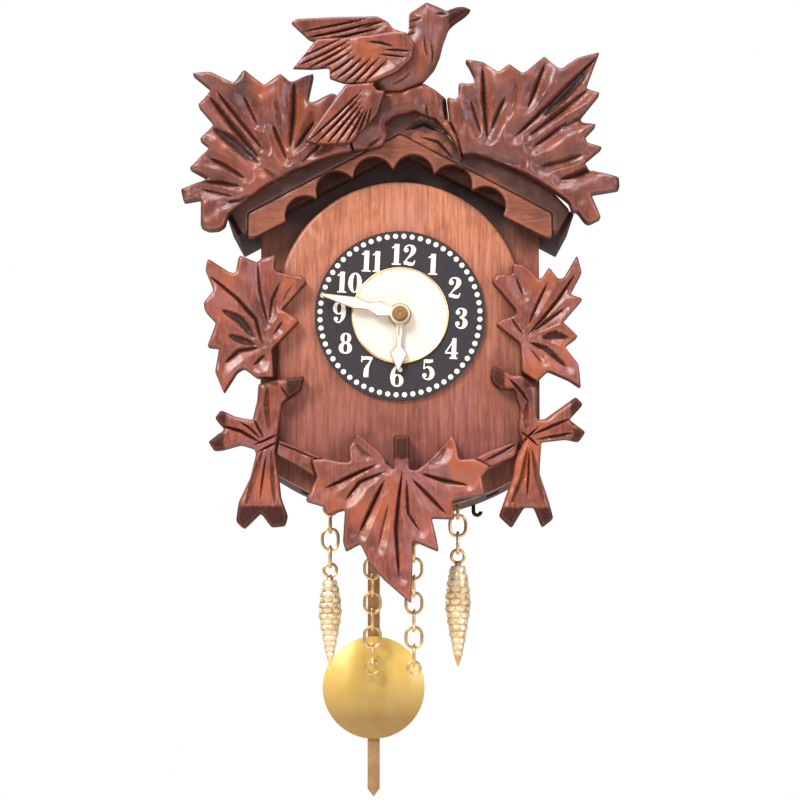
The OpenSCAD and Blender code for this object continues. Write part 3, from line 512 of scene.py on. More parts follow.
class Maker:
    """Turns meshes into finished pieces of the clock."""

    def __init__(self, shelf: FinishShelf) -> None:
        """Keeps the finishes at hand.

        Args:
            shelf: The finishes.
        """
        self.shelf = shelf

    def settle(
        self, mesh: bpy.types.Mesh, name: str, body: str, finish: Finish,
        nodes: Sequence[str] = (), material: Optional[bpy.types.Material] = None,
        crease: float = 40.0,
    ) -> bpy.types.Object:
        """Makes a mesh a piece of the clock.

        Args:
            mesh: The mesh, placed in the shared frame in metres.
            name: The piece's name.
            body: The body it rides on.
            finish: The slot it belongs to.
            nodes: The frame nodes it stands for.
            material: A material other than the slot's own.
            crease: The angle past which an edge stays sharp.

        Returns:
            The finished piece.
        """
        mesh.name = name
        mesh.materials.clear()
        mesh.materials.append(material or self.shelf[finish])
        mesh.shade_smooth()
        mesh.set_sharp_from_angle(angle=math.radians(crease))
        piece = bpy.data.objects.new(name, mesh)
        bpy.context.scene.collection.objects.link(piece)
        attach(piece, body)
        if nodes:
            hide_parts(*nodes)
        LOG.info("piece %s rides on %s with %d faces", name, body, len(mesh.polygons))
        return piece

    def carve(
        self, plaque: "Plaque", name: str = "", finish: Finish = Finish.CARVED,
        material: Optional[bpy.types.Material] = None, crease: float = 52.0,
    ) -> bpy.types.Object:
        """Settles a carved board in place of its frame node.

        Args:
            plaque: The carving.
            name: The piece's name, if not carved_ and the node's name.
            finish: The slot it belongs to.
            material: A material other than the slot's own.
            crease: The angle past which an edge stays sharp.

        Returns:
            The finished piece.
        """
        return self.settle(
            plaque.mesh(), name or "carved_" + plaque.node, "root", finish, (plaque.node,),
            material, crease,
        )

    def wear(self, node: str, finish: Finish, material: Optional[bpy.types.Material] = None) -> None:
        """Gives a frame node its finish.

        Args:
            node: The frame node.
            finish: The slot's finish.
            material: A material other than the slot's own.
        """
        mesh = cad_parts[node].data
        chosen = material or self.shelf[finish]
        if not mesh.materials:
            mesh.materials.append(chosen)
        for index in range(len(mesh.materials)):
            mesh.materials[index] = chosen
        LOG.info("frame node %s wears %s", node, chosen.name)


def mesh_from(shape: bmesh.types.BMesh, name: str) -> bpy.types.Mesh:
    """Writes a working mesh out in metres.

    Args:
        shape: The working mesh in millimetres.
        name: The mesh's name.

    Returns:
        The mesh in metres.
    """
    bmesh.ops.scale(shape, vec=(MM, MM, MM), verts=shape.verts)
    mesh = bpy.data.meshes.new(name)
    shape.to_mesh(mesh)
    shape.free()
    return mesh


def merged_copy(node: str) -> bmesh.types.BMesh:
    """Copies a frame node as a closed working mesh in millimetres.

    Args:
        node: The frame node.

    Returns:
        The copy, with flat areas joined up.
    """
    shape = bmesh.new()
    shape.from_mesh(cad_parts[node].data)
    bmesh.ops.scale(shape, vec=(1 / MM, 1 / MM, 1 / MM), verts=shape.verts)
    bmesh.ops.remove_doubles(shape, verts=shape.verts, dist=0.002)
    bmesh.ops.dissolve_limit(
        shape, angle_limit=math.radians(0.5), verts=shape.verts, edges=shape.edges
    )
    return shape


def front_loop(node: str) -> List[Vector]:
    """Finds the outline of a node's front face.

    Args:
        node: The frame node.

    Returns:
        The longest loop round its front, as points of X and Z in millimetres.
    """
    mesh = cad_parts[node].data
    front = min(v.co.y for v in mesh.vertices) + 1e-6

    def key(vertex: bpy.types.MeshVertex) -> Tuple[int, int]:
        """Returns a vertex's place rounded to a thousandth of a millimetre."""
        return round(vertex.co.x * 1e6), round(vertex.co.z * 1e6)

    edges: Dict[Tuple[Tuple[int, int], Tuple[int, int]], int] = {}
    for face in mesh.polygons:
        corners = [mesh.vertices[i] for i in face.vertices]
        if any(v.co.y > front for v in corners):
            continue
        keys = [key(v) for v in corners]
        for a, b in zip(keys, keys[1:] + keys[:1]):
            if (b, a) in edges:
                del edges[(b, a)]
            else:
                edges[(a, b)] = 1
    onward = {a: b for a, b in edges}
    loops: List[List[Vector]] = []
    while onward:
        start = next(iter(onward))
        here, loop = start, []
        while here in onward:
            loop.append(Vector((here[0] / 1000, here[1] / 1000)))
            here = onward.pop(here)
        loops.append(loop)
    return max(loops, key=len)


def softened(loop: Sequence[Vector], gap: float, rounds: int) -> List[Vector]:
    """Splits an outline into short steps and eases its corners.

    Args:
        loop: The outline's corners.
        gap: The longest step.
        rounds: How many times the corners are eased.

    Returns:
        The finer outline.
    """
    fine: List[Vector] = []
    for a, b in zip(loop, list(loop[1:]) + [loop[0]]):
        parts = max(1, math.ceil((b - a).length / gap))
        fine.extend(a.lerp(b, k / parts) for k in range(parts))
    for _ in range(rounds):
        fine = [
            fine[k] * 0.5 + (fine[k - 1] + fine[(k + 1) % len(fine)]) * 0.25
            for k in range(len(fine))
        ]
    return fine


def nearest_on(
    path: Sequence[Vector], lengths: Sequence[float], at: Vector
) -> Tuple[float, float, float]:
    """Measures from a point to a path.

    Args:
        path: The path's points.
        lengths: How far along each point is, from 0 to 1.
        at: The point.

    Returns:
        The distance, how far along the path the nearest point is, and the side: 1 or -1.
    """
    best, along, side = 1e9, 0.0, 1.0
    for k in range(len(path) - 1):
        a, b = path[k], path[k + 1]
        run = b - a
        share = max(0.0, min(1.0, (at - a).dot(run) / max(run.length_squared, 1e-9)))
        gap = (at - a - run * share).length
        if gap < best:
            best = gap
            along = lengths[k] + (lengths[k + 1] - lengths[k]) * share
            side = 1.0 if run.x * (at - a).y - run.y * (at - a).x > 0 else -1.0
    return best, along, side


@dataclass
class Worked:
    """A cut made ready: its path measured and its reach known."""

    cut: Cut
    path: List[Vector]
    lengths: List[float]
    low: Vector
    high: Vector

    @classmethod
    def ready(cls, cut: Cut, shift: Vector) -> "Worked":
        """Measures a cut.

        Args:
            cut: The cut.
            shift: How far the carving stands from where it was drawn.

        Returns:
            The measured cut.
        """
        path = [Vector(p) + shift for p in cut.path]
        lengths = [0.0]
        for a, b in zip(path, path[1:]):
            lengths.append(lengths[-1] + (b - a).length)
        total = lengths[-1] or 1.0
        reach = cut.width
        low = Vector((min(p.x for p in path) - reach, min(p.y for p in path) - reach))
        high = Vector((max(p.x for p in path) + reach, max(p.y for p in path) + reach))
        return cls(cut, path, [k / total for k in lengths], low, high)

    def at(self, point: Vector) -> Tuple[float, float, float]:
        """Measures the cut's effect at a point.

        Args:
            point: The point on the front.

        Returns:
            The depth cut away, the darkness left behind and the brightness of its rim, a painted
            highlight.
        """
        if not (self.low.x < point.x < self.high.x and self.low.y < point.y < self.high.y):
            return 0.0, 0.0, 0.0
        gap, along, _ = nearest_on(self.path, self.lengths, point)
        half = self.cut.width / 2 * max(0.01, (4 * along * (1 - along))) ** 0.55
        if gap >= half * 1.8:
            return 0.0, 0.0, 0.0
        if gap >= half:
            # Painted highlight: a lighter band along the cut's rim.
            rim = (1 - (gap / half - 1) / 0.8) * half * 2 / self.cut.width
            return 0.0, 0.0, rim * 0.4 * min(1.0, self.cut.dark)
        share = gap / half
        if self.cut.gouge is Gouge.VEE:
            form = 1 - share
        else:
            form = 1 - share * share
        ease = half / max(self.cut.width / 2, 1e-6)
        return self.cut.depth * form * ease, self.cut.dark * form ** 0.7, 0.0


@dataclass
class Plaque:
    """A flat carving: an outline from the frame, cut and rounded on its front."""

    node: str
    cuts: Sequence[Cut]
    shift: Vector
    edge: float = 1.1
    fall: float = 0.8
    swell: float = 0.7
    slant: float = 0.7
    # How far the wood is darkened toward its stain: its own darker tone and, on the crown, painted shade.
    tone: float = 0.0
    ripple: float = 0.16
    grain: float = 0.42
    back_edge: float = 0.0
    back_fall: float = 0.0
    painted: Sequence[Box] = ()
    lit: Sequence[Tuple[Point, float]] = ()
    side_paint: float = 0.85
    ease: int = 2

    def inside(self, loop: Sequence[Vector], at: Vector) -> bool:
        """Tells whether a point is inside an outline."""
        hit = False
        for a, b in zip(loop, list(loop[1:]) + [loop[0]]):
            if (a.y > at.y) != (b.y > at.y):
                if at.x < (b.x - a.x) * (at.y - a.y) / (b.y - a.y) + a.x:
                    hit = not hit
        return hit

    def scatter(self, loop: List[Vector], worked: Sequence[Worked]) -> Tuple[List[Vector], kdtree.KDTree]:
        """Lays points over the front, closer together where it is cut.

        Args:
            loop: The outline.
            worked: The cuts.

        Returns:
            The points inside, and a tree of the outline for measuring from it.
        """
        dense: List[Vector] = []
        for a, b in zip(loop, loop[1:] + loop[:1]):
            parts = max(1, math.ceil((b - a).length / 0.12))
            dense.extend(a.lerp(b, k / parts) for k in range(parts))
        rim = kdtree.KDTree(len(dense))
        for index, point in enumerate(dense):
            rim.insert((point.x, point.y, 0), index)
        rim.balance()
        points: List[Vector] = []
        taken: Dict[Tuple[int, int], List[Vector]] = {}

        def free(at: Vector, room: float) -> bool:
            """Tells whether no point stands within room of this one."""
            cx, cy = int(at.x // 0.6), int(at.y // 0.6)
            for i in (cx - 1, cx, cx + 1):
                for j in (cy - 1, cy, cy + 1):
                    for other in taken.get((i, j), ()):
                        if (other - at).length < room:
                            return False
            return True

        def put(at: Vector, room: float, clear: float) -> None:
            """Adds a point if it is inside and has room."""
            gap = rim.find((at.x, at.y, 0))[2]
            if gap < clear or not free(at, room) or not self.inside(loop, at):
                return
            taken.setdefault((int(at.x // 0.6), int(at.y // 0.6)), []).append(at)
            points.append(at)

        count = len(loop)
        for depth in (0.22, 0.5, 0.85):
            if depth > self.edge * 1.05:
                break
            for k in range(count):
                run = loop[(k + 1) % count] - loop[k - 1]
                if run.length < 1e-6:
                    continue
                for way in (1, -1):
                    at = loop[k] + Vector((-run.y, run.x)).normalized() * depth * way
                    put(at, 0.2, depth * 0.9)
        for work in worked:
            half = work.cut.width / 2
            total = sum((b - a).length for a, b in zip(work.path, work.path[1:]))
            steps = max(3, int(total / 0.38))
            for k in range(steps + 1):
                share = k / steps
                leg = next(
                    i for i in range(len(work.path) - 1)
                    if share <= work.lengths[i + 1] + 1e-9
                )
                a, b = work.path[leg], work.path[leg + 1]
                part = (share - work.lengths[leg]) / max(
                    work.lengths[leg + 1] - work.lengths[leg], 1e-9
                )
                at = a.lerp(b, part)
                side = Vector((-(b - a).y, (b - a).x)).normalized()
                width = half * max(0.01, 4 * share * (1 - share)) ** 0.55
                for out in (0, 0.5, -0.5, 1, -1):
                    put(at + side * width * out, 0.16, 0.15)
        low = Vector((min(p.x for p in loop), min(p.y for p in loop)))
        high = Vector((max(p.x for p in loop), max(p.y for p in loop)))
        rows = int((high.y - low.y) / (self.grain * 0.87)) + 1
        columns = int((high.x - low.x) / self.grain) + 1
        for j in range(rows):
            for i in range(columns):
                at = low + Vector((
                    (i + 0.5 * (j % 2)) * self.grain, j * self.grain * 0.87,
                ))
                put(at, self.grain * 0.62, 0.2)
        return points, rim

    def surface(
        self, at: Vector, gap: float, worked: Sequence[Worked]
    ) -> Tuple[float, float, float]:
        """Works out the front at one point.

        Args:
            at: The point.
            gap: How far it is from the outline.
            worked: The cuts.

        Returns:
            How far back it lies, its darkness and its brightness, a painted highlight along rims and
            edges.
        """
        back = 0.0
        if gap < self.edge:
            share = 1 - gap / self.edge
            back += self.fall * (1 - math.sqrt(max(0.0, 1 - share * share)))
        depth = dark = bright = slope = 0.0
        near = 9.0
        for work in worked:
            d, k, r = work.at(at)
            depth, dark, bright = max(depth, d), max(dark, k), max(bright, r)
            if self.swell and work.cut.dark >= 0.5:
                away, along, side = nearest_on(work.path, work.lengths, at)
                near = min(near, away)
                if side > 0 and away < 3.8:
                    lean = (1 - away / 3.8) * (4 * along * (1 - along)) ** 0.8
                    slope += lean * min(1.0, away / (work.cut.width / 2)) ** 2
        slope = min(1.2, slope)
        if self.swell and near < 9.0:
            hump = min(1.0, near / 3.2)
            back += self.swell * (1 - hump * hump * (3 - 2 * hump)) + self.slant * slope
        back += self.ripple * (1 + noise.noise(Vector((at.x * 0.35, at.y * 0.35, 3.7))))
        # Painted highlight: a lighter band just inside the outline, along the eased edge.
        if 0.2 < gap < 0.7:
            bright = max(bright, (1 - abs(gap - 0.45) / 0.25) * 0.3)
        return back + depth, min(1.0, dark), bright * (1 - min(1.0, dark))

    def shade(self, at: Vector) -> float:
        """Returns how dark a point is painted: patches of random tone and painted shade, and painted light
        where light falls.
        """
        share = 0.75 + 0.7 * noise.noise(Vector((at.x * 0.2, at.y * 0.2, 1.3)))
        for centre, reach in self.lit:
            away = (at - Vector(centre) - self.shift).length / reach
            share = min(share, max(0.0, away - 0.55) * 2.2)
        return share

    def mesh(self) -> bpy.types.Mesh:
        """Carves the piece.

        Returns:
            The finished mesh.
        """
        low, high = span(self.node)
        front, rear = low.y, high.y
        loop = softened(front_loop(self.node), 0.45, self.ease)
        worked = [Worked.ready(cut, self.shift) for cut in self.cuts]
        inner, rim = self.scatter(loop, worked)
        count = len(loop)
        flat = list(loop) + inner
        ring = [(k, (k + 1) % count) for k in range(count)]
        spots, _, faces, origin, _, _ = delaunay_2d_cdt(flat, ring, [], 1, 1e-5)
        shape = bmesh.new()
        carve = shape.verts.layers.float.new("carve")
        paint = shape.verts.layers.float.new("paint")
        bright = shape.verts.layers.float.new("bright")
        tone = shape.verts.layers.float.new("tone")
        fronts: List[bmesh.types.BMVert] = []
        backs: List[bmesh.types.BMVert] = []
        on_rim: List[bool] = []
        for index, spot in enumerate(spots):
            edge_spot = bool(origin[index]) and min(origin[index]) < count
            gap = 0.0 if edge_spot else rim.find((spot.x, spot.y, 0))[2]
            back, dark, light = self.surface(spot, gap, worked)
            vertex = shape.verts.new((spot.x, front + back, spot.y))
            vertex[carve], vertex[bright] = dark, light
            vertex[paint] = 0.7 * max(0.0, 1 - gap / 0.28)
            vertex[tone] = self.tone * self.shade(spot)
            for (x0, z0), (x1, z1) in self.painted:
                ragged = noise.noise(Vector((spot.x, spot.y, 9.1))) * 0.5
                inset = min(
                    spot.x - x0 - self.shift.x, x1 + self.shift.x - spot.x,
                    spot.y - z0 - self.shift.y, z1 + self.shift.y - spot.y,
                ) + ragged
                vertex[paint] = max(vertex[paint], min(1.0, max(0.0, inset / 0.6 + 0.5)))
            fronts.append(vertex)
            on_rim.append(edge_spot)
            rise = 0.0
            if self.back_edge and gap < self.back_edge:
                share = 1 - gap / self.back_edge
                rise = self.back_fall * (1 - math.sqrt(max(0.0, 1 - share * share)))
            rear_vertex = shape.verts.new((spot.x, rear - rise, spot.y))
            rear_vertex[paint] = self.side_paint * 0.8
            backs.append(rear_vertex)
        for face in faces:
            corners = [fronts[i] for i in face]
            shape.faces.new(corners)
            shape.faces.new([backs[i] for i in reversed(face)])
        rim_edges = [e for e in shape.edges if e.is_boundary]
        front_set, back_of = set(fronts), dict(zip(fronts, backs))
        for edge in rim_edges:
            a, b = edge.verts
            if a in front_set and b in front_set:
                shape.faces.new((a, b, back_of[b], back_of[a]))
        sides = [
            e for e in shape.edges
            if (e.verts[0] in back_of and back_of[e.verts[0]] is e.verts[1])
            or (e.verts[1] in back_of and back_of[e.verts[1]] is e.verts[0])
        ]
        made = bmesh.ops.subdivide_edges(shape, edges=sides, cuts=2)
        for item in made["geom_inner"]:
            if isinstance(item, bmesh.types.BMVert):
                item[paint] = max(item[paint], self.side_paint)
        bmesh.ops.recalc_face_normals(shape, faces=shape.faces)
        return mesh_from(shape, self.node)


def crown_shift() -> Vector:
    """Returns how far the fascia's apex stands from where the roof's carvings were drawn."""
    low, high = span("gable_fascia")
    return Vector(((low.x + high.x) / 2 - DRAWN_APEX[0], high.z - DRAWN_APEX[1]))


@dataclass
class CrownCarvings:
    """The crest and the two big leaves on the roof."""

    vein: float = 1.5
    deep: float = 1.5

    def left_cuts(self) -> List[Cut]:
        """Returns the left leaf's cuts."""
        v, d = self.vein, self.deep
        return [
            Cut(((-47.6, 35.2), (-42.0, 27.9), (-35.2, 19.8)), v * 1.5, d),
            Cut(((-45.7, 36.4), (-40.3, 29.6), (-34.2, 21.9)), v, d * 0.8),
            Cut(((-39.1, 35.5), (-37.2, 31.5), (-35.6, 28.1)), v * 0.8, d * 0.6),
            Cut(((-26.4, 38.8), (-26.6, 31.0), (-27.4, 22.5)), v * 1.4, d),
            Cut(((-31.8, 28.1), (-30.0, 23.8), (-28.3, 19.4)), v, d * 0.7),
            Cut(((-21.3, 28.8), (-23.8, 25.4), (-25.9, 22.2)), v, d * 0.7),
            Cut(((-17.0, 26.5), (-20.5, 22.5), (-24.5, 18.6)), v * 0.9, d * 0.6, dark=0.8),
            Cut(((-46.6, 27.2), (-41.4, 23.4), (-35.5, 18.5)), v * 2.2, d, Gouge.SCOOP),
            Cut(((-47.4, 19.6), (-43.2, 17.6), (-38.7, 14.6)), v * 1.2, d * 0.8),
            Cut(((-48.8, 13.7), (-44.3, 13.5), (-39.8, 12.5)), v * 1.1, d * 0.8),
            Cut(((-49.2, 11.6), (-45.6, 11.0), (-41.9, 10.0)), v * 0.8, d * 0.6),
            Cut(((-34.0, 17.0), (-30.5, 14.8), (-27.0, 13.8)), v * 1.2, d * 0.5, dark=0.6),
            Cut(((-31.0, 34.5), (-30.4, 30.5), (-29.8, 27.0)), v, d * 0.5, Gouge.SCOOP, 0.4),
            Cut(((-43.0, 8.5), (-40.0, 9.0), (-37.0, 10.4)), v * 1.0, d * 0.7),
        ]

    def right_cuts(self) -> List[Cut]:
        """Returns the right leaf's cuts."""
        v, d = self.vein, self.deep
        return [
            Cut(((20.6, 42.4), (21.0, 34.0), (21.7, 24.5)), v * 1.2, d),
            Cut(((17.6, 34.1), (18.9, 30.0), (20.1, 26.0)), v * 0.9, d * 0.6),
            Cut(((26.2, 35.0), (24.4, 31.0), (22.7, 26.8)), v, d * 0.7),
            Cut(((36.2, 43.5), (34.0, 37.6), (31.9, 32.3)), v, d * 0.8),
            Cut(((49.6, 45.6), (39.0, 35.0), (28.6, 25.0)), v * 1.3, d),
            Cut(((46.9, 41.8), (41.2, 35.8), (35.9, 30.4)), v * 2.2, d * 0.9, Gouge.SCOOP),
            Cut(((46.9, 37.0), (39.4, 30.9), (32.2, 25.3)), v * 1.3, d * 0.8),
            Cut(((47.5, 30.5), (44.0, 29.2), (40.0, 27.0)), v, d * 0.5, dark=0.7),
            Cut(((42.1, 29.0), (37.6, 25.6), (33.3, 22.4)), v * 1.1, d * 0.7),
            Cut(((49.5, 17.8), (44.5, 15.6), (40.0, 14.2)), v * 1.5, d),
            Cut(((45.5, 20.5), (40.0, 18.6), (35.0, 17.5)), v * 1.2, d * 0.6, dark=0.7),
            Cut(((29.0, 38.5), (28.5, 34.0), (27.0, 29.5)), v, d * 0.5, Gouge.SCOOP, 0.4),
            Cut(((19.0, 20.5), (24.0, 19.5), (29.0, 18.0)), v * 1.4, d * 0.5, dark=0.5),
        ]

    def crest_cuts(self) -> List[Cut]:
        """Returns the crest's cuts."""
        return [
            Cut(((11.2, 35.4), (11.4, 32.2), (11.5, 28.9)), 1.5, 1.6),
            Cut(((4.6, 21.2), (7.0, 25.0), (12.0, 26.4)), 3.4, 2.2, Gouge.SCOOP),
            Cut(((-3.0, 26.0), (-1.0, 28.5), (1.5, 30.0)), 1.6, 0.9, dark=0.7),
            Cut(((-9.0, 21.5), (-7.0, 23.5), (-5.0, 24.6)), 1.6, 0.9, dark=0.7),
            Cut(((6.5, 33.0), (7.0, 30.0), (6.0, 28.0)), 1.2, 0.8, dark=0.7),
        ]

    def build(self, maker: Maker) -> None:
        """Carves the crown.

        Args:
            maker: Makes the pieces.
        """
        shift = crown_shift()
        for node, cuts, painted in (
            ("crown_leaf_left", self.left_cuts(), [((-60, 1), (-53.6, 13.4))]),
            ("crown_leaf_right", self.right_cuts(), [((53.6, 8), (60, 20))]),
            ("crown_crest", self.crest_cuts(), []),
        ):
            # The leaves darken in soft random patches, partly the wood's own tone and partly painted
            # shade.
            plaque = Plaque(
                node, cuts, shift, edge=1.3, fall=1.1, swell=1.5, slant=0.9, ripple=0.4,
                painted=painted, tone=0.45,
            )
            maker.carve(plaque)
        # Painted shade: the back board is darkened where it lies in shadow behind the crest, with painted
        # light in patches where light falls through the arch.
        hollow = Plaque(
            "crown_board", [
                Cut(((5.5, 25.6), (9.6, 24.4), (13.2, 20.4)), 1.3, 0.8),
                Cut(((1.5, 27.6), (6.0, 29.6), (10.6, 27.0)), 2.4, 1.2, Gouge.SCOOP),
            ], shift, edge=0.4, fall=0.3, swell=0.0, slant=0.0, ripple=0.2, grain=0.7,
            tone=1.7, lit=[((8.2, 24.6), 3.6), ((4.6, 25.4), 2.6), ((11.4, 22.6), 2.4)],
        )
        maker.carve(hollow, "crown_back_board", Finish.CASE, maker.shelf.stem)
        rail = Plaque(
            "gable_fascia", [], shift, edge=0.6, fall=0.4, swell=0.0, slant=0.0, ripple=0.16,
            grain=0.7, tone=0.3, side_paint=0.8,
        )
        maker.carve(rail, "scalloped_fascia", Finish.CARVED, maker.shelf.stem)


@dataclass
class FrontCarvings:
    """The leaves, twigs and garlands round the case's front."""

    drawn_centre: Point = (0.0, -19.0)

    def shift(self) -> Vector:
        """Returns how far the dial stands from where the cuts were drawn."""
        at = middle("dial")
        return Vector((at.x - self.drawn_centre[0], at.z - self.drawn_centre[1]))

    def leaf_cuts(self) -> Dict[str, List[Cut]]:
        """Returns the cuts of the two side leaves."""
        return {
            "side_leaf_left": [
                Cut(((-47.6, -9.4), (-40.8, -14.9), (-35.9, -20.4), (-34.3, -26.8)), 1.5, 1.3),
                Cut(((-35.6, -6.2), (-35.0, -12.9), (-33.0, -21.5)), 1.2, 0.9),
                Cut(((-30.1, -11.4), (-31.9, -15.5), (-32.6, -20.5)), 1.1, 0.9),
                Cut(((-26.5, -11.6), (-28.3, -13.8), (-29.4, -16.8)), 0.9, 0.5, dark=0.6),
                Cut(((-29.4, -20.9), (-30.4, -22.6), (-31.4, -24.0)), 1.0, 0.8),
                Cut(((-44.4, -18.0), (-39.9, -20.4), (-36.4, -24.8)), 2.5, 1.5, Gouge.SCOOP),
                Cut(((-42.7, -24.3), (-39.5, -25.5), (-36.2, -26.6)), 2.2, 1.4, Gouge.SCOOP),
                Cut(((-43.5, -31.3), (-40.2, -28.2), (-35.3, -27.5)), 1.8, 1.3),
                Cut(((-33.6, -29.2), (-34.9, -30.4), (-36.3, -31.9)), 1.3, 1.0),
            ],
            "side_leaf_right": [
                Cut(((28.9, -9.8), (29.9, -12.2), (30.6, -14.4)), 1.1, 0.8),
                Cut(((36.7, -11.2), (34.0, -17.0), (32.1, -21.4)), 1.2, 1.0),
                Cut(((43.6, -9.0), (39.5, -15.2), (35.8, -19.8), (32.0, -24.0)), 1.3, 1.2),
                Cut(((41.2, -17.4), (36.7, -20.7), (32.8, -23.5)), 1.3, 0.9),
                Cut(((41.8, -24.9), (38.6, -24.2), (35.4, -24.9)), 2.3, 1.5, Gouge.SCOOP),
                Cut(((32.3, -26.2), (36.3, -27.6), (41.4, -32.3)), 1.9, 1.4, Gouge.SCOOP),
                Cut(((32.6, -28.0), (33.8, -29.4), (35.3, -31.2)), 1.1, 0.7, dark=0.7),
                Cut(((27.8, -20.2), (29.0, -21.9), (30.4, -23.8)), 1.0, 0.8),
            ],
        }

    def twig_cuts(self) -> Dict[str, List[Cut]]:
        """Returns the cuts of the two twigs."""
        return {
            "twig_left": [
                Cut(((-44.2, -47.0), (-39.5, -48.4), (-35.0, -51.0)), 1.2, 1.2),
                Cut(((-39.6, -46.2), (-37.4, -47.5), (-34.8, -50.0)), 0.9, 0.8),
                Cut(((-36.2, -45.6), (-35.2, -47.5), (-33.9, -49.9)), 1.0, 0.8),
                Cut(((-33.0, -37.5), (-33.1, -42.0), (-32.4, -48.5)), 1.6, 0.9, Gouge.SCOOP, 0.5),
                Cut(((-36.2, -51.8), (-33.3, -50.6), (-29.9, -48.9)), 0.8, 1.0),
                Cut(((-35.2, -53.5), (-32.6, -52.2), (-29.6, -50.6)), 0.8, 1.0),
                Cut(((-34.0, -53.0), (-36.3, -60.5), (-38.2, -67.0)), 1.5, 1.0, Gouge.SCOOP, 0.5),
                Cut(((-31.9, -53.0), (-31.6, -60.0), (-31.0, -66.5)), 1.3, 0.9, Gouge.SCOOP, 0.5),
                Cut(((-33.1, -54.0), (-34.0, -60.0), (-34.6, -65.0)), 0.8, 0.8, dark=0.8),
                Cut(((-29.6, -37.3), (-28.4, -39.0), (-27.2, -41.0)), 1.0, 0.7, dark=0.7),
            ],
            "twig_right": [
                Cut(((33.0, -49.2), (37.5, -47.2), (42.4, -45.2)), 1.1, 1.0),
                Cut(((34.0, -50.4), (38.5, -49.6), (42.8, -48.8)), 1.1, 1.0),
                Cut(((26.9, -35.2), (29.4, -37.6), (32.0, -41.2)), 1.0, 1.0),
                Cut(((25.6, -37.4), (28.4, -39.6), (30.4, -43.6)), 0.9, 0.7, dark=0.7),
                Cut(((31.6, -41.0), (31.2, -44.4), (31.4, -48.2)), 1.5, 0.9, Gouge.SCOOP, 0.5),
                Cut(((29.4, -48.0), (31.8, -49.8), (34.4, -52.2)), 0.8, 1.0),
                Cut(((34.2, -47.4), (31.6, -49.8), (29.8, -52.2)), 0.8, 1.0),
                Cut(((31.6, -52.6), (30.2, -60.0), (27.4, -66.6)), 1.4, 1.0, Gouge.SCOOP, 0.5),
                Cut(((32.6, -52.6), (34.0, -60.0), (35.6, -66.4)), 1.3, 0.9, Gouge.SCOOP, 0.5),
                Cut(((32.0, -53.0), (31.8, -59.0), (31.4, -64.8)), 0.8, 0.8, dark=0.8),
            ],
        }

    def bottom_cuts(self) -> List[Cut]:
        """Returns the bottom leaf's cuts."""
        return [
            Cut(((-5.9, -56.8), (-11.0, -59.0), (-18.4, -62.6)), 1.4, 1.4),
            Cut(((-4.0, -58.6), (-10.0, -61.0), (-13.4, -65.4)), 1.3, 1.2),
            Cut(((-4.0, -60.9), (-6.8, -66.7), (-10.0, -73.6)), 1.6, 1.5),
            Cut(((-2.9, -66.5), (-4.0, -71.2), (-5.3, -77.0)), 1.1, 0.7, dark=0.6),
            Cut(((0.5, -58.6), (-0.4, -66.0), (-1.0, -72.5), (-0.3, -84.5)), 1.4, 1.5),
            Cut(((1.6, -60.9), (2.0, -68.8), (4.6, -72.9)), 1.3, 1.0),
            Cut(((3.1, -60.5), (6.6, -64.0), (11.2, -68.8)), 1.5, 1.4),
            Cut(((5.4, -59.0), (10.4, -60.6), (16.6, -61.8)), 1.6, 1.4),
            Cut(((7.0, -56.8), (9.6, -55.0), (11.4, -52.4)), 1.4, 0.9, Gouge.SCOOP, 0.6),
            Cut(((-7.2, -55.0), (-9.4, -53.6), (-11.0, -51.6)), 1.4, 0.8, Gouge.SCOOP, 0.6),
            Cut(((-3.6, -56.2), (-2.9, -56.5), (-2.1, -56.9)), 1.0, 1.2),
            Cut(((3.8, -56.2), (3.1, -56.5), (2.3, -56.9)), 1.0, 1.2),
        ]

    def build(self, maker: Maker) -> None:
        """Carves the front.

        Args:
            maker: Makes the pieces.
        """
        shift = self.shift()
        for node, cuts in self.leaf_cuts().items():
            plaque = Plaque(node, cuts, shift, edge=1.2, fall=1.0, swell=0.8, ripple=0.2, grain=0.38)
            maker.carve(plaque)
        ends = {
            "twig_left": [
                ((-50, -75), (-25, -67.0)), ((-50, -47.6), (-43.2, -43.0)), ((-50, -54), (-43.6, -48.6)),
                ((-36, -36.9), (-30.4, -34)), ((-28.2, -42.0), (-22.0, -34.0)),
            ],
            "twig_right": [
                ((20, -75), (40, -67.2)), ((42.4, -46.6), (48, -38.0)), ((42.8, -54), (48, -47.6)),
                ((30.6, -37.4), (37, -31)), ((20.0, -37.6), (26.0, -30.0)),
            ],
        }
        for node, cuts in self.twig_cuts().items():
            plaque = Plaque(
                node, cuts, shift, edge=1.5, fall=1.4, swell=0.0, ripple=0.25, grain=0.36,
                painted=ends[node],
            )
            maker.carve(plaque)
        leaf = Plaque(
            "bottom_leaf", self.bottom_cuts(), shift, edge=1.2, fall=1.0, swell=0.9, ripple=0.25,
            painted=[((-2.6, -55.4), (2.6, -40))],
        )
        maker.carve(leaf)
        for node, cuts in (
            ("garland_left", [Cut(((-30.4, -51.2), (-25.5, -53.0), (-20.0, -55.4)), 1.1, 0.9)]),
            ("garland_right", [Cut(((29.4, -51.0), (25.5, -53.4), (21.0, -55.6)), 1.1, 0.9)]),
        ):
            plaque = Plaque(node, cuts, shift, edge=0.8, fall=0.6, swell=0.3, grain=0.36)
            maker.carve(plaque)


